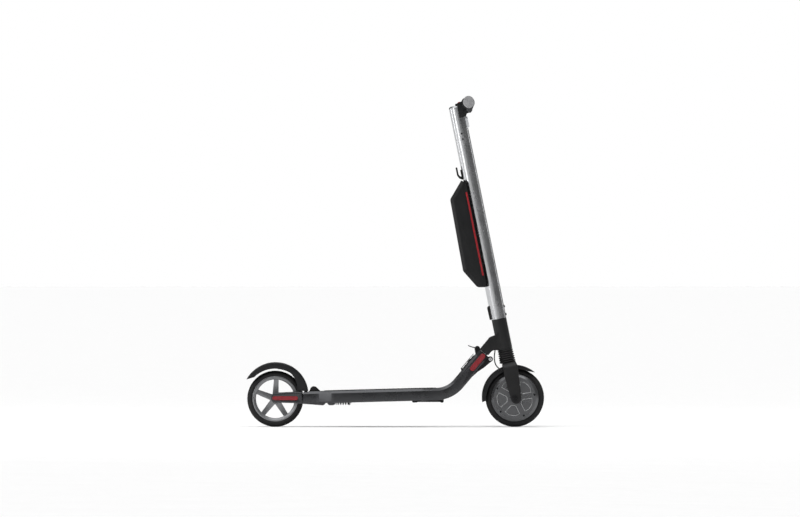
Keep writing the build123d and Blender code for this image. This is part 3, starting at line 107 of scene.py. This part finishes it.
def softbox(name, place, target, size, power):
    """A rectangular area light aimed at a point."""
    data = bpy.data.lights.new(name, "AREA")
    data.shape = "RECTANGLE"
    data.size, data.size_y = size
    data.energy = power
    lamp = bpy.data.objects.new(name, data)
    lamp.location = place
    lamp.rotation_euler = (Vector(target) - Vector(place)).to_track_quat("-Z", "Y").to_euler()
    bpy.context.scene.collection.objects.link(lamp)


HORIZON_GLOW, SKY_GLOW, SKY_FULL_AT = 0.12, 0.5, 0.8   # strengths, and how high the glow is full
FLOOR_R, FLOOR_SIDES = 150.0, 64
OVERHEAD_POWER, OVERHEAD_SPREAD = 2.65, radians(75)
OVERHEAD_TILT = (radians(14), radians(-6), 0)
LIGHT_AIM = (0.1, 0, 0.5)


def surroundings():
    """White to the camera; dimmer as a light, brighter overhead than at the horizon."""
    world = bpy.data.worlds.new("studio")
    world.use_nodes = True
    tree = world.node_tree
    sky = tree.nodes["Background"]
    glow = tree.nodes.new("ShaderNodeBackground")
    ramp = tree.nodes.new("ShaderNodeMapRange")
    split = tree.nodes.new("ShaderNodeSeparateXYZ")
    mix = tree.nodes.new("ShaderNodeMixShader")
    sky.inputs["Color"].default_value = (1.0, 1.0, 1.0, 1)
    ramp.inputs["From Min"].default_value, ramp.inputs["From Max"].default_value = 0.0, SKY_FULL_AT
    ramp.inputs["To Min"].default_value, ramp.inputs["To Max"].default_value = HORIZON_GLOW, SKY_GLOW
    links = tree.links
    links.new(tree.nodes.new("ShaderNodeTexCoord").outputs["Generated"], split.inputs["Vector"])
    links.new(split.outputs["Z"], ramp.inputs["Value"])
    links.new(ramp.outputs["Result"], glow.inputs["Strength"])
    links.new(tree.nodes.new("ShaderNodeLightPath").outputs["Is Camera Ray"], mix.inputs["Fac"])
    links.new(glow.outputs["Background"], mix.inputs[1])
    links.new(sky.outputs["Background"], mix.inputs[2])
    links.new(mix.outputs["Shader"], tree.nodes["World Output"].inputs["Surface"])
    bpy.context.scene.world = world


def studio():
    """Pale floor under a wide soft overhead light, with tall strips at the sides."""
    mesh = bpy.data.meshes.new("floor")
    turns = [tau * i / FLOOR_SIDES for i in range(FLOOR_SIDES)]
    rim = [(FLOOR_R * cos(turn), FLOOR_R * sin(turn), 0) for turn in turns]
    mesh.from_pydata(rim, [], [range(FLOOR_SIDES)])
    floor = bpy.data.objects.new("floor", mesh)
    bpy.context.scene.collection.objects.link(floor)
    mesh.materials.append(finish("floor_paint", (0.88, 0.88, 0.88), 0.9, tone=0.01, grain=(3.0, 0.02)))
    surroundings()
    overhead = bpy.data.lights.new("overhead", "SUN")
    overhead.energy, overhead.angle = OVERHEAD_POWER, OVERHEAD_SPREAD
    lamp = bpy.data.objects.new("overhead", overhead)
    lamp.rotation_euler = OVERHEAD_TILT
    bpy.context.scene.collection.objects.link(lamp)
    softbox("key_strip", (-2.9, -2.7, 1.3), LIGHT_AIM, (0.45, 2.6), 34)
    softbox("rear_strip", (-3.9, 0.4, 1.3), LIGHT_AIM, (0.6, 2.4), 22)
    softbox("far_strip", (3.4, 1.6, 1.2), LIGHT_AIM, (0.3, 2.2), 8)
    bpy.context.scene.view_settings.view_transform = "Standard"


# ---------------------------------------------------------------- materials
class Recipe:
    """A procedural material under construction, with short ways to add nodes."""

    def __init__(self, name):
        self.material = bpy.data.materials.new(name)
        self.material.use_nodes = True
        self.tree = self.material.node_tree
        self.shader = self.tree.nodes["Principled BSDF"]
        self.place = self.add("ShaderNodeTexCoord").outputs["Object"]

    def add(self, kind, **settings):
        """A node with its settings."""
        node = self.tree.nodes.new(kind)
        for key, value in settings.items():
            setattr(node, key, value)
        return node

    def link(self, source, target):
        self.tree.links.new(source, target)

    def stretched(self, scale, lean=0.0):
        """Object coordinates scaled along each axis, after turning back a lean about Y."""
        turn = self.add("ShaderNodeMapping")
        turn.inputs["Rotation"].default_value = (0, lean, 0)
        self.link(self.place, turn.inputs["Vector"])
        squeeze = self.add("ShaderNodeMapping")
        squeeze.inputs["Scale"].default_value = scale
        self.link(turn.outputs["Vector"], squeeze.inputs["Vector"])
        return squeeze.outputs["Vector"]

    def noise(self, scale, detail=3.0, where=None, rough=0.55):
        node = self.add("ShaderNodeTexNoise")
        node.inputs["Scale"].default_value = scale
        node.inputs["Detail"].default_value = detail
        node.inputs["Roughness"].default_value = rough
        self.link(where or self.place, node.inputs["Vector"])
        return node.outputs["Fac"]

    def cells(self, scale, feature="F1", where=None):
        node = self.add("ShaderNodeTexVoronoi", feature=feature)
        node.inputs["Scale"].default_value = scale
        self.link(where or self.place, node.inputs["Vector"])
        return node.outputs["Distance"]

    def ramp(self, value, low, high, out_low=0.0, out_high=1.0):
        """A value remapped from one range to another, clamped."""
        node = self.add("ShaderNodeMapRange")
        node.inputs["From Min"].default_value = low
        node.inputs["From Max"].default_value = high
        node.inputs["To Min"].default_value = out_low
        node.inputs["To Max"].default_value = out_high
        self.link(value, node.inputs["Value"])
        return node.outputs["Result"]

    def mix(self, factor, first, second):
        """Two colours mixed by a factor; each is a colour or a socket."""
        node = self.add("ShaderNodeMix", data_type="RGBA")
        self.link(factor, node.inputs["Factor"])
        for value, socket in ((first, node.inputs["A"]), (second, node.inputs["B"])):
            if isinstance(value, tuple):
                socket.default_value = (*value, 1)
            else:
                self.link(value, socket)
        return node.outputs["Result"]

    def bump(self, height, distance, strength=1.0, below=None):
        """Adds relief of a real depth in metres; a second layer lies over the first."""
        node = self.add("ShaderNodeBump")
        node.inputs["Strength"].default_value = strength
        node.inputs["Distance"].default_value = distance
        self.link(height, node.inputs["Height"])
        if below is not None:
            self.link(below, node.inputs["Normal"])
        self.link(node.outputs["Normal"], self.shader.inputs["Normal"])
        return node.outputs["Normal"]

    def set(self, **values):
        """Plain values on the shader's own sockets."""
        for key, value in values.items():
            self.shader.inputs[key.replace("_", " ")].default_value = value


def shade(colour, factor):
    """A colour made lighter or darker."""
    return tuple(min(1.0, c * factor) for c in colour)


def finish(
    name, colour, rough, metal=0.0, tone=0.12, grain=(900.0, 0.00008), mottle=22.0, spread=0.08,
):
    """A surface with mottled colour and gloss, and a fine grain given as scale and depth."""
    recipe = Recipe(name)
    cloud = recipe.noise(mottle, 5)
    fine = recipe.noise(grain[0], 3)
    patchy = recipe.mix(recipe.ramp(cloud, 0.3, 0.7), shade(colour, 1 - tone), shade(colour, 1 + tone))
    speckled = recipe.mix(recipe.ramp(fine, 0.35, 0.75, 0.0, 0.35), patchy, shade(colour, 1 + 2 * tone))
    recipe.link(speckled, recipe.shader.inputs["Base Color"])
    sheen = recipe.ramp(cloud, 0.3, 0.7, rough - spread, rough + spread)
    recipe.link(sheen, recipe.shader.inputs["Roughness"])
    recipe.bump(fine, grain[1])
    recipe.set(Metallic=metal, Specular_IOR_Level=0.22)
    return recipe.material


def brushed(name, colour, rough, lean, scale, depth=0.00003):
    """Metal with fine straight brushing along one direction and faint smudges."""
    recipe = Recipe(name)
    lines = recipe.noise(1.0, 4, recipe.stretched(scale, lean), 0.7)
    smudge = recipe.noise(14.0, 6)
    tone = recipe.mix(recipe.ramp(lines, 0.3, 0.7), shade(colour, 0.86), shade(colour, 1.1))
    recipe.link(tone, recipe.shader.inputs["Base Color"])
    recipe.link(recipe.ramp(smudge, 0.3, 0.7, rough - 0.06, rough + 0.1), recipe.shader.inputs["Roughness"])
    recipe.bump(lines, depth)
    recipe.set(Metallic=1.0, Anisotropic=0.25)
    return recipe.material


def cast_paint(name, colour, rough, depth):
    """Matte paint over a sand-cast surface: pits and a coarse orange peel."""
    recipe = Recipe(name)
    peel = recipe.noise(420.0, 4)
    pits = recipe.cells(700.0)
    cloud = recipe.noise(18.0, 5)
    patchy = recipe.mix(recipe.ramp(cloud, 0.3, 0.7), shade(colour, 0.85), shade(colour, 1.15))
    flecked = recipe.mix(recipe.ramp(peel, 0.5, 0.8, 0.0, 0.6), patchy, shade(colour, 1.9))
    recipe.link(flecked, recipe.shader.inputs["Base Color"])
    recipe.link(recipe.ramp(peel, 0.3, 0.7, rough - 0.1, rough + 0.08), recipe.shader.inputs["Roughness"])
    recipe.bump(pits, depth * 0.5, below=recipe.bump(peel, depth))
    recipe.set(Metallic=0.1, Specular_IOR_Level=0.25)
    return recipe.material


def rubber(name, colour, rough, pattern_scale, depth, dust):
    """Rubber with a stipple and a patchy film of dust."""
    recipe = Recipe(name)
    stipple = recipe.cells(pattern_scale)
    film = recipe.noise(30.0, 6)
    dusty = recipe.mix(recipe.ramp(film, 0.45, 0.75, 0.0, dust), colour, (0.24, 0.225, 0.2))
    shaded = recipe.mix(recipe.ramp(stipple, 0.1, 0.6, 0.0, 0.5), dusty, shade(colour, 1.7))
    recipe.link(shaded, recipe.shader.inputs["Base Color"])
    recipe.link(recipe.ramp(film, 0.3, 0.7, rough - 0.08, rough + 0.1), recipe.shader.inputs["Roughness"])
    recipe.bump(stipple, depth)
    recipe.set(Specular_IOR_Level=0.2)
    return recipe.material


def prism(name, colour, glow, cell, rough=0.12):
    """Moulded red or clear plastic with rows of small prisms under a smooth skin; each prism is painted lighter in
    its middle and darker towards its rim, painted light and shade for the way the facets catch light.
    """
    recipe = Recipe(name)
    facets = recipe.cells(cell)
    cloud = recipe.noise(40.0, 3)
    # painted light and shade: each prism lighter in its middle, darker towards its rim
    painted_facet_shade = recipe.mix(recipe.ramp(facets, 0.1, 0.55), shade(colour, 1.35), shade(colour, 0.5))
    toned = recipe.mix(recipe.ramp(cloud, 0.3, 0.7, 0.0, 0.25), painted_facet_shade, shade(colour, 0.7))
    recipe.link(toned, recipe.shader.inputs["Base Color"])
    recipe.link(recipe.ramp(facets, 0.0, 0.6, rough, rough + 0.15), recipe.shader.inputs["Roughness"])
    recipe.bump(facets, 0.0004, 0.6)
    recipe.set(Coat_Weight=0.3, Coat_Roughness=0.06, Specular_IOR_Level=0.3)
    # emission: a lamp's light on the lamp lens; on the red strip and the red reflectors, which are no lamps, a
    # painted glow
    if glow:
        recipe.link(toned, recipe.shader.inputs["Emission Color"])
        recipe.set(Emission_Strength=glow)
    return recipe.material


STEM_LEAN = atan2(-UP_STEM.x, UP_STEM.z)


def make_materials():
    """One material for each slot of the record, and a near-white one for the painted highlight lines round the
    hub's pockets.
    """
    return {
        "deck_paint": finish("deck_paint", (0.06, 0.061, 0.064), 0.3, 0.85, 0.1, (1300.0, 0.00004), 12.0),
        "hinge_paint": cast_paint("hinge_paint", (0.008, 0.008, 0.0085), 0.42, 0.00005),
        "casting_paint": cast_paint("casting_paint", (0.011, 0.011, 0.0115), 0.5, 0.0001),
        "deck_grip": rubber("deck_grip", (0.010, 0.010, 0.0105), 0.7, 1400.0, 0.0002, 0.12),
        "belly_plate": finish("belly_plate", (0.012, 0.012, 0.013), 0.45, 0.4),
        "bright_steel": brushed("bright_steel", (0.55, 0.55, 0.56), 0.26, 0.0, (300, 40, 300)),
        "black_steel": finish("black_steel", (0.012, 0.012, 0.013), 0.34, 0.6, 0.2, (1600.0, 0.00004)),
        "spring_steel": finish("spring_steel", (0.02, 0.02, 0.021), 0.3, 0.7, 0.2, (1200.0, 0.00005)),
        "stem_silver": brushed("stem_silver", (0.46, 0.465, 0.475), 0.22, STEM_LEAN, (900, 900, 9), 0.00002),
        "steerer_alloy": brushed("steerer_alloy", (0.5, 0.5, 0.51), 0.3, STEM_LEAN, (20, 20, 900)),
        "pedal_alloy": finish("pedal_alloy", (0.05, 0.05, 0.052), 0.3, 0.8, 0.15, (500.0, 0.00006), 60.0),
        "kickstand_paint": finish("kickstand_paint", (0.012, 0.012, 0.013), 0.36, 0.4),
        "rim_alloy": finish("rim_alloy", (0.2, 0.202, 0.208), 0.32, 0.85, 0.12, (1500.0, 0.00005), 16.0),
        "motor_alloy": finish("motor_alloy", (0.13, 0.132, 0.136), 0.3, 0.9, 0.1, (1500.0, 0.00004), 16.0),
        # near-white metal for the thin tubes round the hub's pockets: a painted highlight
        "painted_edge_highlight": finish("painted_edge_highlight", (0.75, 0.75, 0.76), 0.3, 0.6, 0.05, (1500.0, 0.00002), 30.0),
        "tyre_rubber": rubber("tyre_rubber", (0.007, 0.007, 0.0075), 0.62, 900.0, 0.0001, 0.07),
        "grip_rubber": rubber("grip_rubber", (0.022, 0.022, 0.023), 0.68, 520.0, 0.0004, 0.05),
        "bellows_rubber": rubber("bellows_rubber", (0.008, 0.008, 0.0085), 0.5, 1500.0, 0.00005, 0.06),
        "lead_rubber": rubber("lead_rubber", (0.007, 0.007, 0.0075), 0.4, 1800.0, 0.00003, 0.03),
        "cap_alloy": finish("cap_alloy", (0.3, 0.3, 0.305), 0.42, 0.4, 0.1, (1400.0, 0.00006), 60.0),
        "black_plastic": finish(
            "black_plastic", (0.007, 0.0073, 0.0077), 0.44, 0.0, 0.14, (1100.0, 0.00008), 20.0,
        ),
        "lever_plastic": finish(
            "lever_plastic", (0.06, 0.061, 0.064), 0.46, 0.0, 0.12, (1100.0, 0.0001), 30.0,
        ),
        "fender_plastic": finish(
            "fender_plastic", (0.010, 0.0104, 0.0112), 0.32, 0.0, 0.14, (900.0, 0.00006), 18.0,
        ),
        "display_glass": finish(
            "display_glass", (0.006, 0.006, 0.007), 0.08, 0.0, 0.3, (60.0, 0.000005), 60.0, 0.04,
        ),
        "button_plastic": finish(
            "button_plastic", (0.42, 0.03, 0.025), 0.3, 0.0, 0.1, (1300.0, 0.00005), 90.0,
        ),
        "lamp_lens": prism("lamp_lens", (0.75, 0.77, 0.8), 0.2, 320.0, 0.06),
        # the red strip and the reflectors below glow a little though they are no lamps: painted glow
        "strip_red": prism("strip_red", (0.36, 0.012, 0.018), 0.12, 420.0, 0.15),
        "reflector_red": prism("reflector_red", (0.3, 0.014, 0.022), 0.03, 480.0, 0.18),
        "pack_wrap": finish("pack_wrap", (0.03, 0.08, 0.3), 0.35, 0.0, 0.1, (400.0, 0.0001)),
        "controller_case": finish("controller_case", (0.3, 0.3, 0.31), 0.4, 0.8),
        "stator_steel": finish("stator_steel", (0.3, 0.22, 0.15), 0.45, 0.7, 0.2, (700.0, 0.0002)),
    }


# ---------------------------------------------------------------- mesh helpers
def settle(piece, body, nodes, slot, crisp=35.0):
    """Links a new piece, smooths it, gives it its slot's material and its body."""
    bpy.context.scene.collection.objects.link(piece)
    piece.data.materials.clear()
    piece.data.materials.append(MATERIALS[slot])
    for face in piece.data.polygons:
        face.use_smooth = True
    piece.data.set_sharp_from_angle(angle=radians(crisp))
    if body:
        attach(piece, body)
    if nodes:
        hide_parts(*nodes)
    return piece


def from_rings(name, rings, looped=False):
    """A mesh through closed rings of points, with ends closed, or joined if looped."""
    count, vertices, faces = len(rings[0]), [], []
    for ring in rings:
        vertices += ring
    last = len(rings) if looped else len(rings) - 1
    for i in range(last):
        for j in range(count):
            a, b = i * count + j, i * count + (j + 1) % count
            c, d = ((i + 1) % len(rings)) * count + (j + 1) % count, ((i + 1) % len(rings)) * count + j
            faces.append((a, b, c, d))
    if not looped:
        faces.append(tuple(reversed(range(count))))
        faces.append(tuple((len(rings) - 1) * count + j for j in range(count)))
    mesh = bpy.data.meshes.new(name)
    mesh.from_pydata(vertices, [], faces)
    bm = bmesh.new()
    bm.from_mesh(mesh)
    bmesh.ops.recalc_face_normals(bm, faces=bm.faces)
    bm.to_mesh(mesh)
    bm.free()
    return bpy.data.objects.new(name, mesh)


def lathe(name, section, centre, axis, first, steps=96, second_scale=1.0):
    """Turns (radius, along) points in millimetres round an axis, as an ellipse if scaled."""
    second = axis.cross(first)
    rings = []
    for radius, along in section:
        ring = []
        for i in range(steps):
            turn = tau * i / steps
            spread = first * cos(turn) + second * (sin(turn) * second_scale)
            ring.append(centre + (axis * along + spread * radius) * MM)
        rings.append(ring)
    return from_rings(name, rings)


def tube(name, path, radius, sides=12):
    """A round tube along a path of points, with its cross-section carried along."""
    rings, side = [], None
    for i, point in enumerate(path):
        ahead = path[min(i + 1, len(path) - 1)] - path[max(i - 1, 0)]
        ahead.normalize()
        side = ahead.orthogonal() if side is None else side - ahead * side.dot(ahead)
        side.normalize()
        other = ahead.cross(side)
        turns = [tau * k / sides for k in range(sides)]
        rings.append([point + (side * cos(turn) + other * sin(turn)) * radius for turn in turns])
    return from_rings(name, rings)


ROUND_SEGMENTS, HARD_EDGE = 3, radians(28)


def softened(node, width):
    """A copy of a CAD node with its hard edges rounded, shown in the node's place."""
    mesh = frame["nodes"][node].data.copy()
    bm = bmesh.new()
    bm.from_mesh(mesh)
    bmesh.ops.remove_doubles(bm, verts=bm.verts, dist=2e-6)
    bmesh.ops.dissolve_limit(bm, angle_limit=radians(0.4), verts=bm.verts, edges=bm.edges)
    bm.to_mesh(mesh)
    bm.free()
    piece = bpy.data.objects.new(node + "_skin", mesh)
    bpy.context.scene.collection.objects.link(piece)
    bevel = piece.modifiers.new("round", "BEVEL")
    bevel.width, bevel.segments = width * MM, ROUND_SEGMENTS
    bevel.limit_method, bevel.angle_limit = "ANGLE", HARD_EDGE
    bevel.use_clamp_overlap = True
    bevel.harden_normals = False
    bpy.context.view_layer.update()
    rounded = bpy.data.meshes.new_from_object(piece.evaluated_get(bpy.context.evaluated_depsgraph_get()))
    bpy.data.objects.remove(piece)
    return settle(bpy.data.objects.new(node + "_skin", rounded), BODY_OF[node], [node], SLOT_OF[node])


# ---------------------------------------------------------------- tyres
TREAD_STEPS, TREAD_PITCH = 240, 6      # columns round a tyre, and columns to each block
GROOVE_DEPTH = 1.4
TREAD_EDGE = 60.6                      # last row, degrees from the crown
GROOVES = ((9.25, 13.45), (26.45, 30.65))
CUTS = (9.0, 45.5)                     # between these rows the slanted cuts run


def tread_rows():
    """Cross-section angles in degrees from the crown, doubled at each groove's edges."""
    half = [0, 9.2, 9.3, 13.4, 13.5, 20, 26.4, 26.5, 30.6, 30.7, 38, 45, 46, 53, TREAD_EDGE]
    return [-a for a in reversed(half[1:])] + half


def tyre(name, axle, crown, edge, seat, node):
    """A tyre with two grooves each side of the crown and slanted cuts between its blocks.

    crown is the tread's radius, edge and seat are (radius, half width) at the shoulder
    and at the rim, all in millimetres.
    """
    rise = crown - edge[0]
    belly = (edge[1] ** 2 - rise ** 2) / (2 * rise)
    centre_r, arc_r = edge[0] - belly, crown - (edge[0] - belly)
    limit = atan2(edge[1], belly)
    rings = []
    for step in range(TREAD_STEPS):
        turn = tau * step / TREAD_STEPS
        out = Vector((cos(turn), 0, sin(turn)))
        ring = [(seat[0], -seat[1])]
        for row, degrees in enumerate(tread_rows()):
            angle = limit * degrees / TREAD_EDGE
            size = abs(degrees)
            groove = any(near < size < far for near, far in GROOVES)
            slant = round(size / 9)
            shift = TREAD_PITCH // 2 if degrees < 0 else 0
            cut = CUTS[0] < size < CUTS[1] and (step + slant + shift) % TREAD_PITCH == 0
            depth = GROOVE_DEPTH if groove or cut else 0.0
            reach = arc_r - depth
            ring.append((centre_r + reach * cos(angle), reach * sin(angle)))
        ring.append((seat[0], seat[1]))
        rings.append([axle + (out * r + SIDE * y) * MM for r, y in ring])
    piece = from_rings(name, rings, looped=True)
    return settle(piece, BODY_OF[node], [node], SLOT_OF[node], 30.0)


def tyres():
    tyre("front_tread", FRONT_AXLE, 100.0, (88.0, 20.5), (81.0, 18.0), "front_tyre")
    tyre("rear_tread", REAR_AXLE, 96.0, (84.0, 19.5), (77.6, 17.0), "rear_tyre")


# ---------------------------------------------------------------- bellows, springs and lead
BELLOWS = (122.3, 167.7)           # along the stem, millimetres
RIBS = 6
SPRING_ENDS = (-203.6, -156.0)     # X of the rear spring's ends, millimetres
SPRING_MEAN_R, WIRE_R, COILS = 10.8, 1.7, 5


def bellows():
    """Ribbed boot over the fork's post."""
    section, length = [], BELLOWS[1] - BELLOWS[0]
    for i in range(RIBS * 10 + 1):
        share = i / (RIBS * 10)
        crest = 27.2 - 2.0 * share
        wave = abs(sin(pi * share * RIBS)) ** 0.6
        section.append((crest - 3.6 + 4.6 * wave, BELLOWS[0] + share * length))
    inner = [(20.0, along) for along in (BELLOWS[1], BELLOWS[0])]
    piece = lathe("bellows_boot", section + inner, FRONT_AXLE, UP_STEM, FORE_STEM)
    settle(piece, "steering", ["bellows"], "bellows_rubber", 60.0)
    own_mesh(piece)


def rear_spring():
    """Coil of wire between the deck's block and the rod's washer, with ground ends."""
    low, high = SPRING_ENDS[0] + WIRE_R, SPRING_ENDS[1] - WIRE_R
    centre, path, steps = middle("pull_rod"), [], 36
    turns = COILS + 2
    for i in range(turns * steps + 1):
        wound = i / steps
        share = min(max((wound - 0.9) / (turns - 1.8), 0.0), 1.0)
        pose = tau * wound
        along = low + (high - low) * share
        around = Vector((0, cos(pose), sin(pose))) * SPRING_MEAN_R * MM
        path.append(Vector((along * MM, 0, centre.z)) + around)
    piece = tube("rear_coil", path, WIRE_R * MM, 12)
    settle(piece, "root", ["rear_spring"], "spring_steel", 60.0)
    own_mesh(piece)


# ---------------------------------------------------------------- the motor's lead
LEAD_ROUTE = (
    (341.3, -6, 261.0), (338.6, -9, 243), (339.4, -17, 225),
    (344.0, -29, 210), (354, -41, 200), (366.6, -50, 193.5),
)
LEAD_D = 0.004


def smooth_route(points):
    """Points read from a smooth spline whose control points are a cord's route."""
    curve = bpy.data.curves.new("route", "CURVE")
    curve.dimensions = "3D"
    curve.resolution_u = 12
    spline = curve.splines.new("NURBS")
    spline.points.add(len(points) - 1)
    for knot, place in zip(spline.points, points):
        knot.co = (*[c * MM for c in place], 1)
    spline.order_u = 3
    spline.use_endpoint_u = True
    carrier = bpy.data.objects.new("route", curve)
    mesh = bpy.data.meshes.new_from_object(carrier)
    path = [vertex.co.copy() for vertex in mesh.vertices]
    bpy.data.objects.remove(carrier)
    bpy.data.meshes.remove(mesh)
    return path


def motor_lead():
    """Sheathed lead from the head casting to the right fork leg."""
    path = smooth_route(LEAD_ROUTE)
    piece = tube("motor_lead", path, LEAD_D / 2, 12)
    settle(piece, None, ["motor_cable"], "lead_rubber", 60.0)
    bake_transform(piece)


# ---------------------------------------------------------------- grips, mat and small trim
GRIP_FROM, GRIP_TO = 84.0, 208.0
GRIP_OVAL = 1.1                    # height over width


def grips():
    """Ribbed rubber sleeves with a collar at each end, one mesh a side."""
    pieces = []
    for name, way in (("grip_left", 1), ("grip_right", -1)):
        section = [(11.2, GRIP_FROM), (17.4, GRIP_FROM), (18.0, GRIP_FROM + 0.6)]
        section += [(18.0, GRIP_FROM + 5), (17.2, GRIP_FROM + 6)]
        ribs = 24
        for i in range(ribs):
            start = GRIP_FROM + 10 + i * (GRIP_TO - GRIP_FROM - 20) / ribs
            swell = 0.5 * sin(pi * i / ribs)
            section += [(16.3 + swell, start), (17.2 + swell, start + 0.8)]
            section += [(17.2 + swell, start + 3.0), (16.3 + swell, start + 3.8)]
        section += [(17.2, GRIP_TO - 6), (18.0, GRIP_TO - 5)]
        section += [(18.0, GRIP_TO - 0.6), (17.4, GRIP_TO), (11.2, GRIP_TO)]
        pieces.append(lathe(name, section, BAR, SIDE * way, FORE_STEM, 72, GRIP_OVAL))
    for piece in pieces:
        settle(piece, "steering", [], "grip_rubber", 40.0)
    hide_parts("grips")


MAT_EDGE = ((72, 50), (105, 64), (405, 64), (455, 45))    # along the deck, half width
MAT_MOUNT_A = 265.0
RIB_PITCH, RIB_LEN, RIB_W, RIB_H = 8.0, 9.0, 2.6, 0.5


def mat_half_width(a):
    for (a0, w0), (a1, w1) in zip(MAT_EDGE, MAT_EDGE[1:]):
        if a0 <= a <= a1:
            return w0 + (w1 - w0) * (a - a0) / (a1 - a0)
    return 0.0


def deck_ribs():
    """Rows of small slanted studs moulded on the deck's mat."""
    vertices, faces = [], []
    rows = int((MAT_EDGE[-1][0] - MAT_EDGE[0][0] - 12) / RIB_PITCH)
    for row in range(rows):
        a = MAT_EDGE[0][0] + 8 + row * RIB_PITCH
        reach = mat_half_width(a) - 7
        count = int(reach / RIB_PITCH)
        for column in range(-count, count + 1):
            lean = radians(45 if (row + column) % 2 else -45)
            ahead, aside = Vector((cos(lean), sin(lean))), Vector((-sin(lean), cos(lean)))
            base = len(vertices)
            for height, shrink in ((0.0, 1.0), (RIB_H * 0.7, 0.92), (RIB_H, 0.7)):
                for u, v in ((-1, -1), (1, -1), (1, 1), (-1, 1)):
                    spot = ahead * (u * RIB_LEN / 2 * shrink) + aside * (v * RIB_W / 2 * shrink)
                    place = DECK_FORE * (a - MAT_MOUNT_A + spot.x) + SIDE * (column * RIB_PITCH + spot.y)
                    vertices.append(DECK_TOP + (place + DECK_UP * height) * MM)
            faces.append((base + 3, base + 2, base + 1, base))
            for level in (0, 4):
                for k in range(4):
                    n = (k + 1) % 4
                    low = base + level
                    faces.append((low + k, low + n, low + 4 + n, low + 4 + k))
            faces.append((base + 8, base + 9, base + 10, base + 11))
    mesh = bpy.data.meshes.new("deck_ribs")
    mesh.from_pydata(vertices, [], faces)
    settle(bpy.data.objects.new("deck_ribs", mesh), "root", [], "deck_grip", 30.0)


# edge of a hub pocket, outward and across, and the hub's face, all in millimetres
POCKET = ((28, -8.5), (26, 0), (28, 8.5), (52, 25), (60, 13), (61.5, 0), (60, -13), (52, -25))
# the last value is the radius of the thin tubes that paint a highlight along the pocket edges
POCKETS, FIRST_POCKET, HUB_FACE, HIGHLIGHT_LINE_R = 5, 44.6, 29.9, 0.55


def hub_highlight_lines():
    """Thin bright tubes round the pockets on both faces of the hub: a painted highlight along the pocket edges."""
    for name, way in (("hub_highlight_right", -1), ("hub_highlight_left", 1)):
        joined = bmesh.new()
        for k in range(POCKETS):
            turn = radians(FIRST_POCKET) + tau * k / POCKETS
            out, across = Vector((cos(turn), 0, sin(turn))), Vector((-sin(turn), 0, cos(turn)))
            ring = [FRONT_AXLE + (out * r + across * t + SIDE * way * HUB_FACE) * MM for r, t in POCKET]
            highlight_line = tube("highlight_line", [*ring, ring[0]], HIGHLIGHT_LINE_R * MM, 8)
            joined.from_mesh(highlight_line.data)
            bpy.data.objects.remove(highlight_line)
        mesh = bpy.data.meshes.new(name)
        joined.to_mesh(mesh)
        joined.free()
        piece = settle(bpy.data.objects.new(name, mesh), "front_wheel", [], "motor_alloy", 50.0)
        # the tubes get the near-white material: painted highlight on the pocket edges
        piece.data.materials[0] = MATERIALS["painted_edge_highlight"]


ROUNDED = {                        # CAD nodes whose edges are rounded, and by how much, mm
    "head_housing": 2.2, "control_pods": 0.8, "throttle_lever": 1.2, "brake_lever": 1.2, "battery_cover": 1.2,
    "battery_saddle": 0.9, "bag_hook": 0.9, "cable_cover": 0.7, "head_casting": 1.6, "fold_clevis": 0.9,
    "fold_pedal": 0.7, "kickstand": 1.3, "kickstand_bracket": 0.7, "heel_stop": 0.8, "rear_rim": 0.9,
    "deck_frame": 0.6, "deck_mat": 0.5, "rear_fender": 0.7,
    "front_fender": 0.7, "fold_pins": 0.4, "front_axle_set": 0.5, "rear_axle_set": 0.5, "rear_arm": 0.5,
    "belly_cover": 0.5, "charge_flap": 0.4, "grip_caps": 0.5, "stem_screws": 0.3, "fork": 0.6,
}


def dress_cad():
    """Gives every CAD node its material, and rounds the edges of the ones in the list."""
    for node, piece in frame["nodes"].items():
        piece.material_slots[0].material = MATERIALS[SLOT_OF[node]]
    skins = {node: softened(node, width) for node, width in ROUNDED.items()}
    # of the two fasteners at the hinge, the upper one, behind the latch bolt, is black
    pins = skins["fold_pins"].data
    pins.materials.append(MATERIALS["black_steel"])
    between = (min(v.co.x for v in pins.vertices) + max(v.co.x for v in pins.vertices)) / 2
    for face in pins.polygons:
        face.material_index = 1 if face.center.x < between else 0


camera()
MATERIALS = make_materials()
motor_lead()
studio()
dress_cad()
tyres()
bellows()
rear_spring()
grips()
deck_ribs()
hub_highlight_lines()
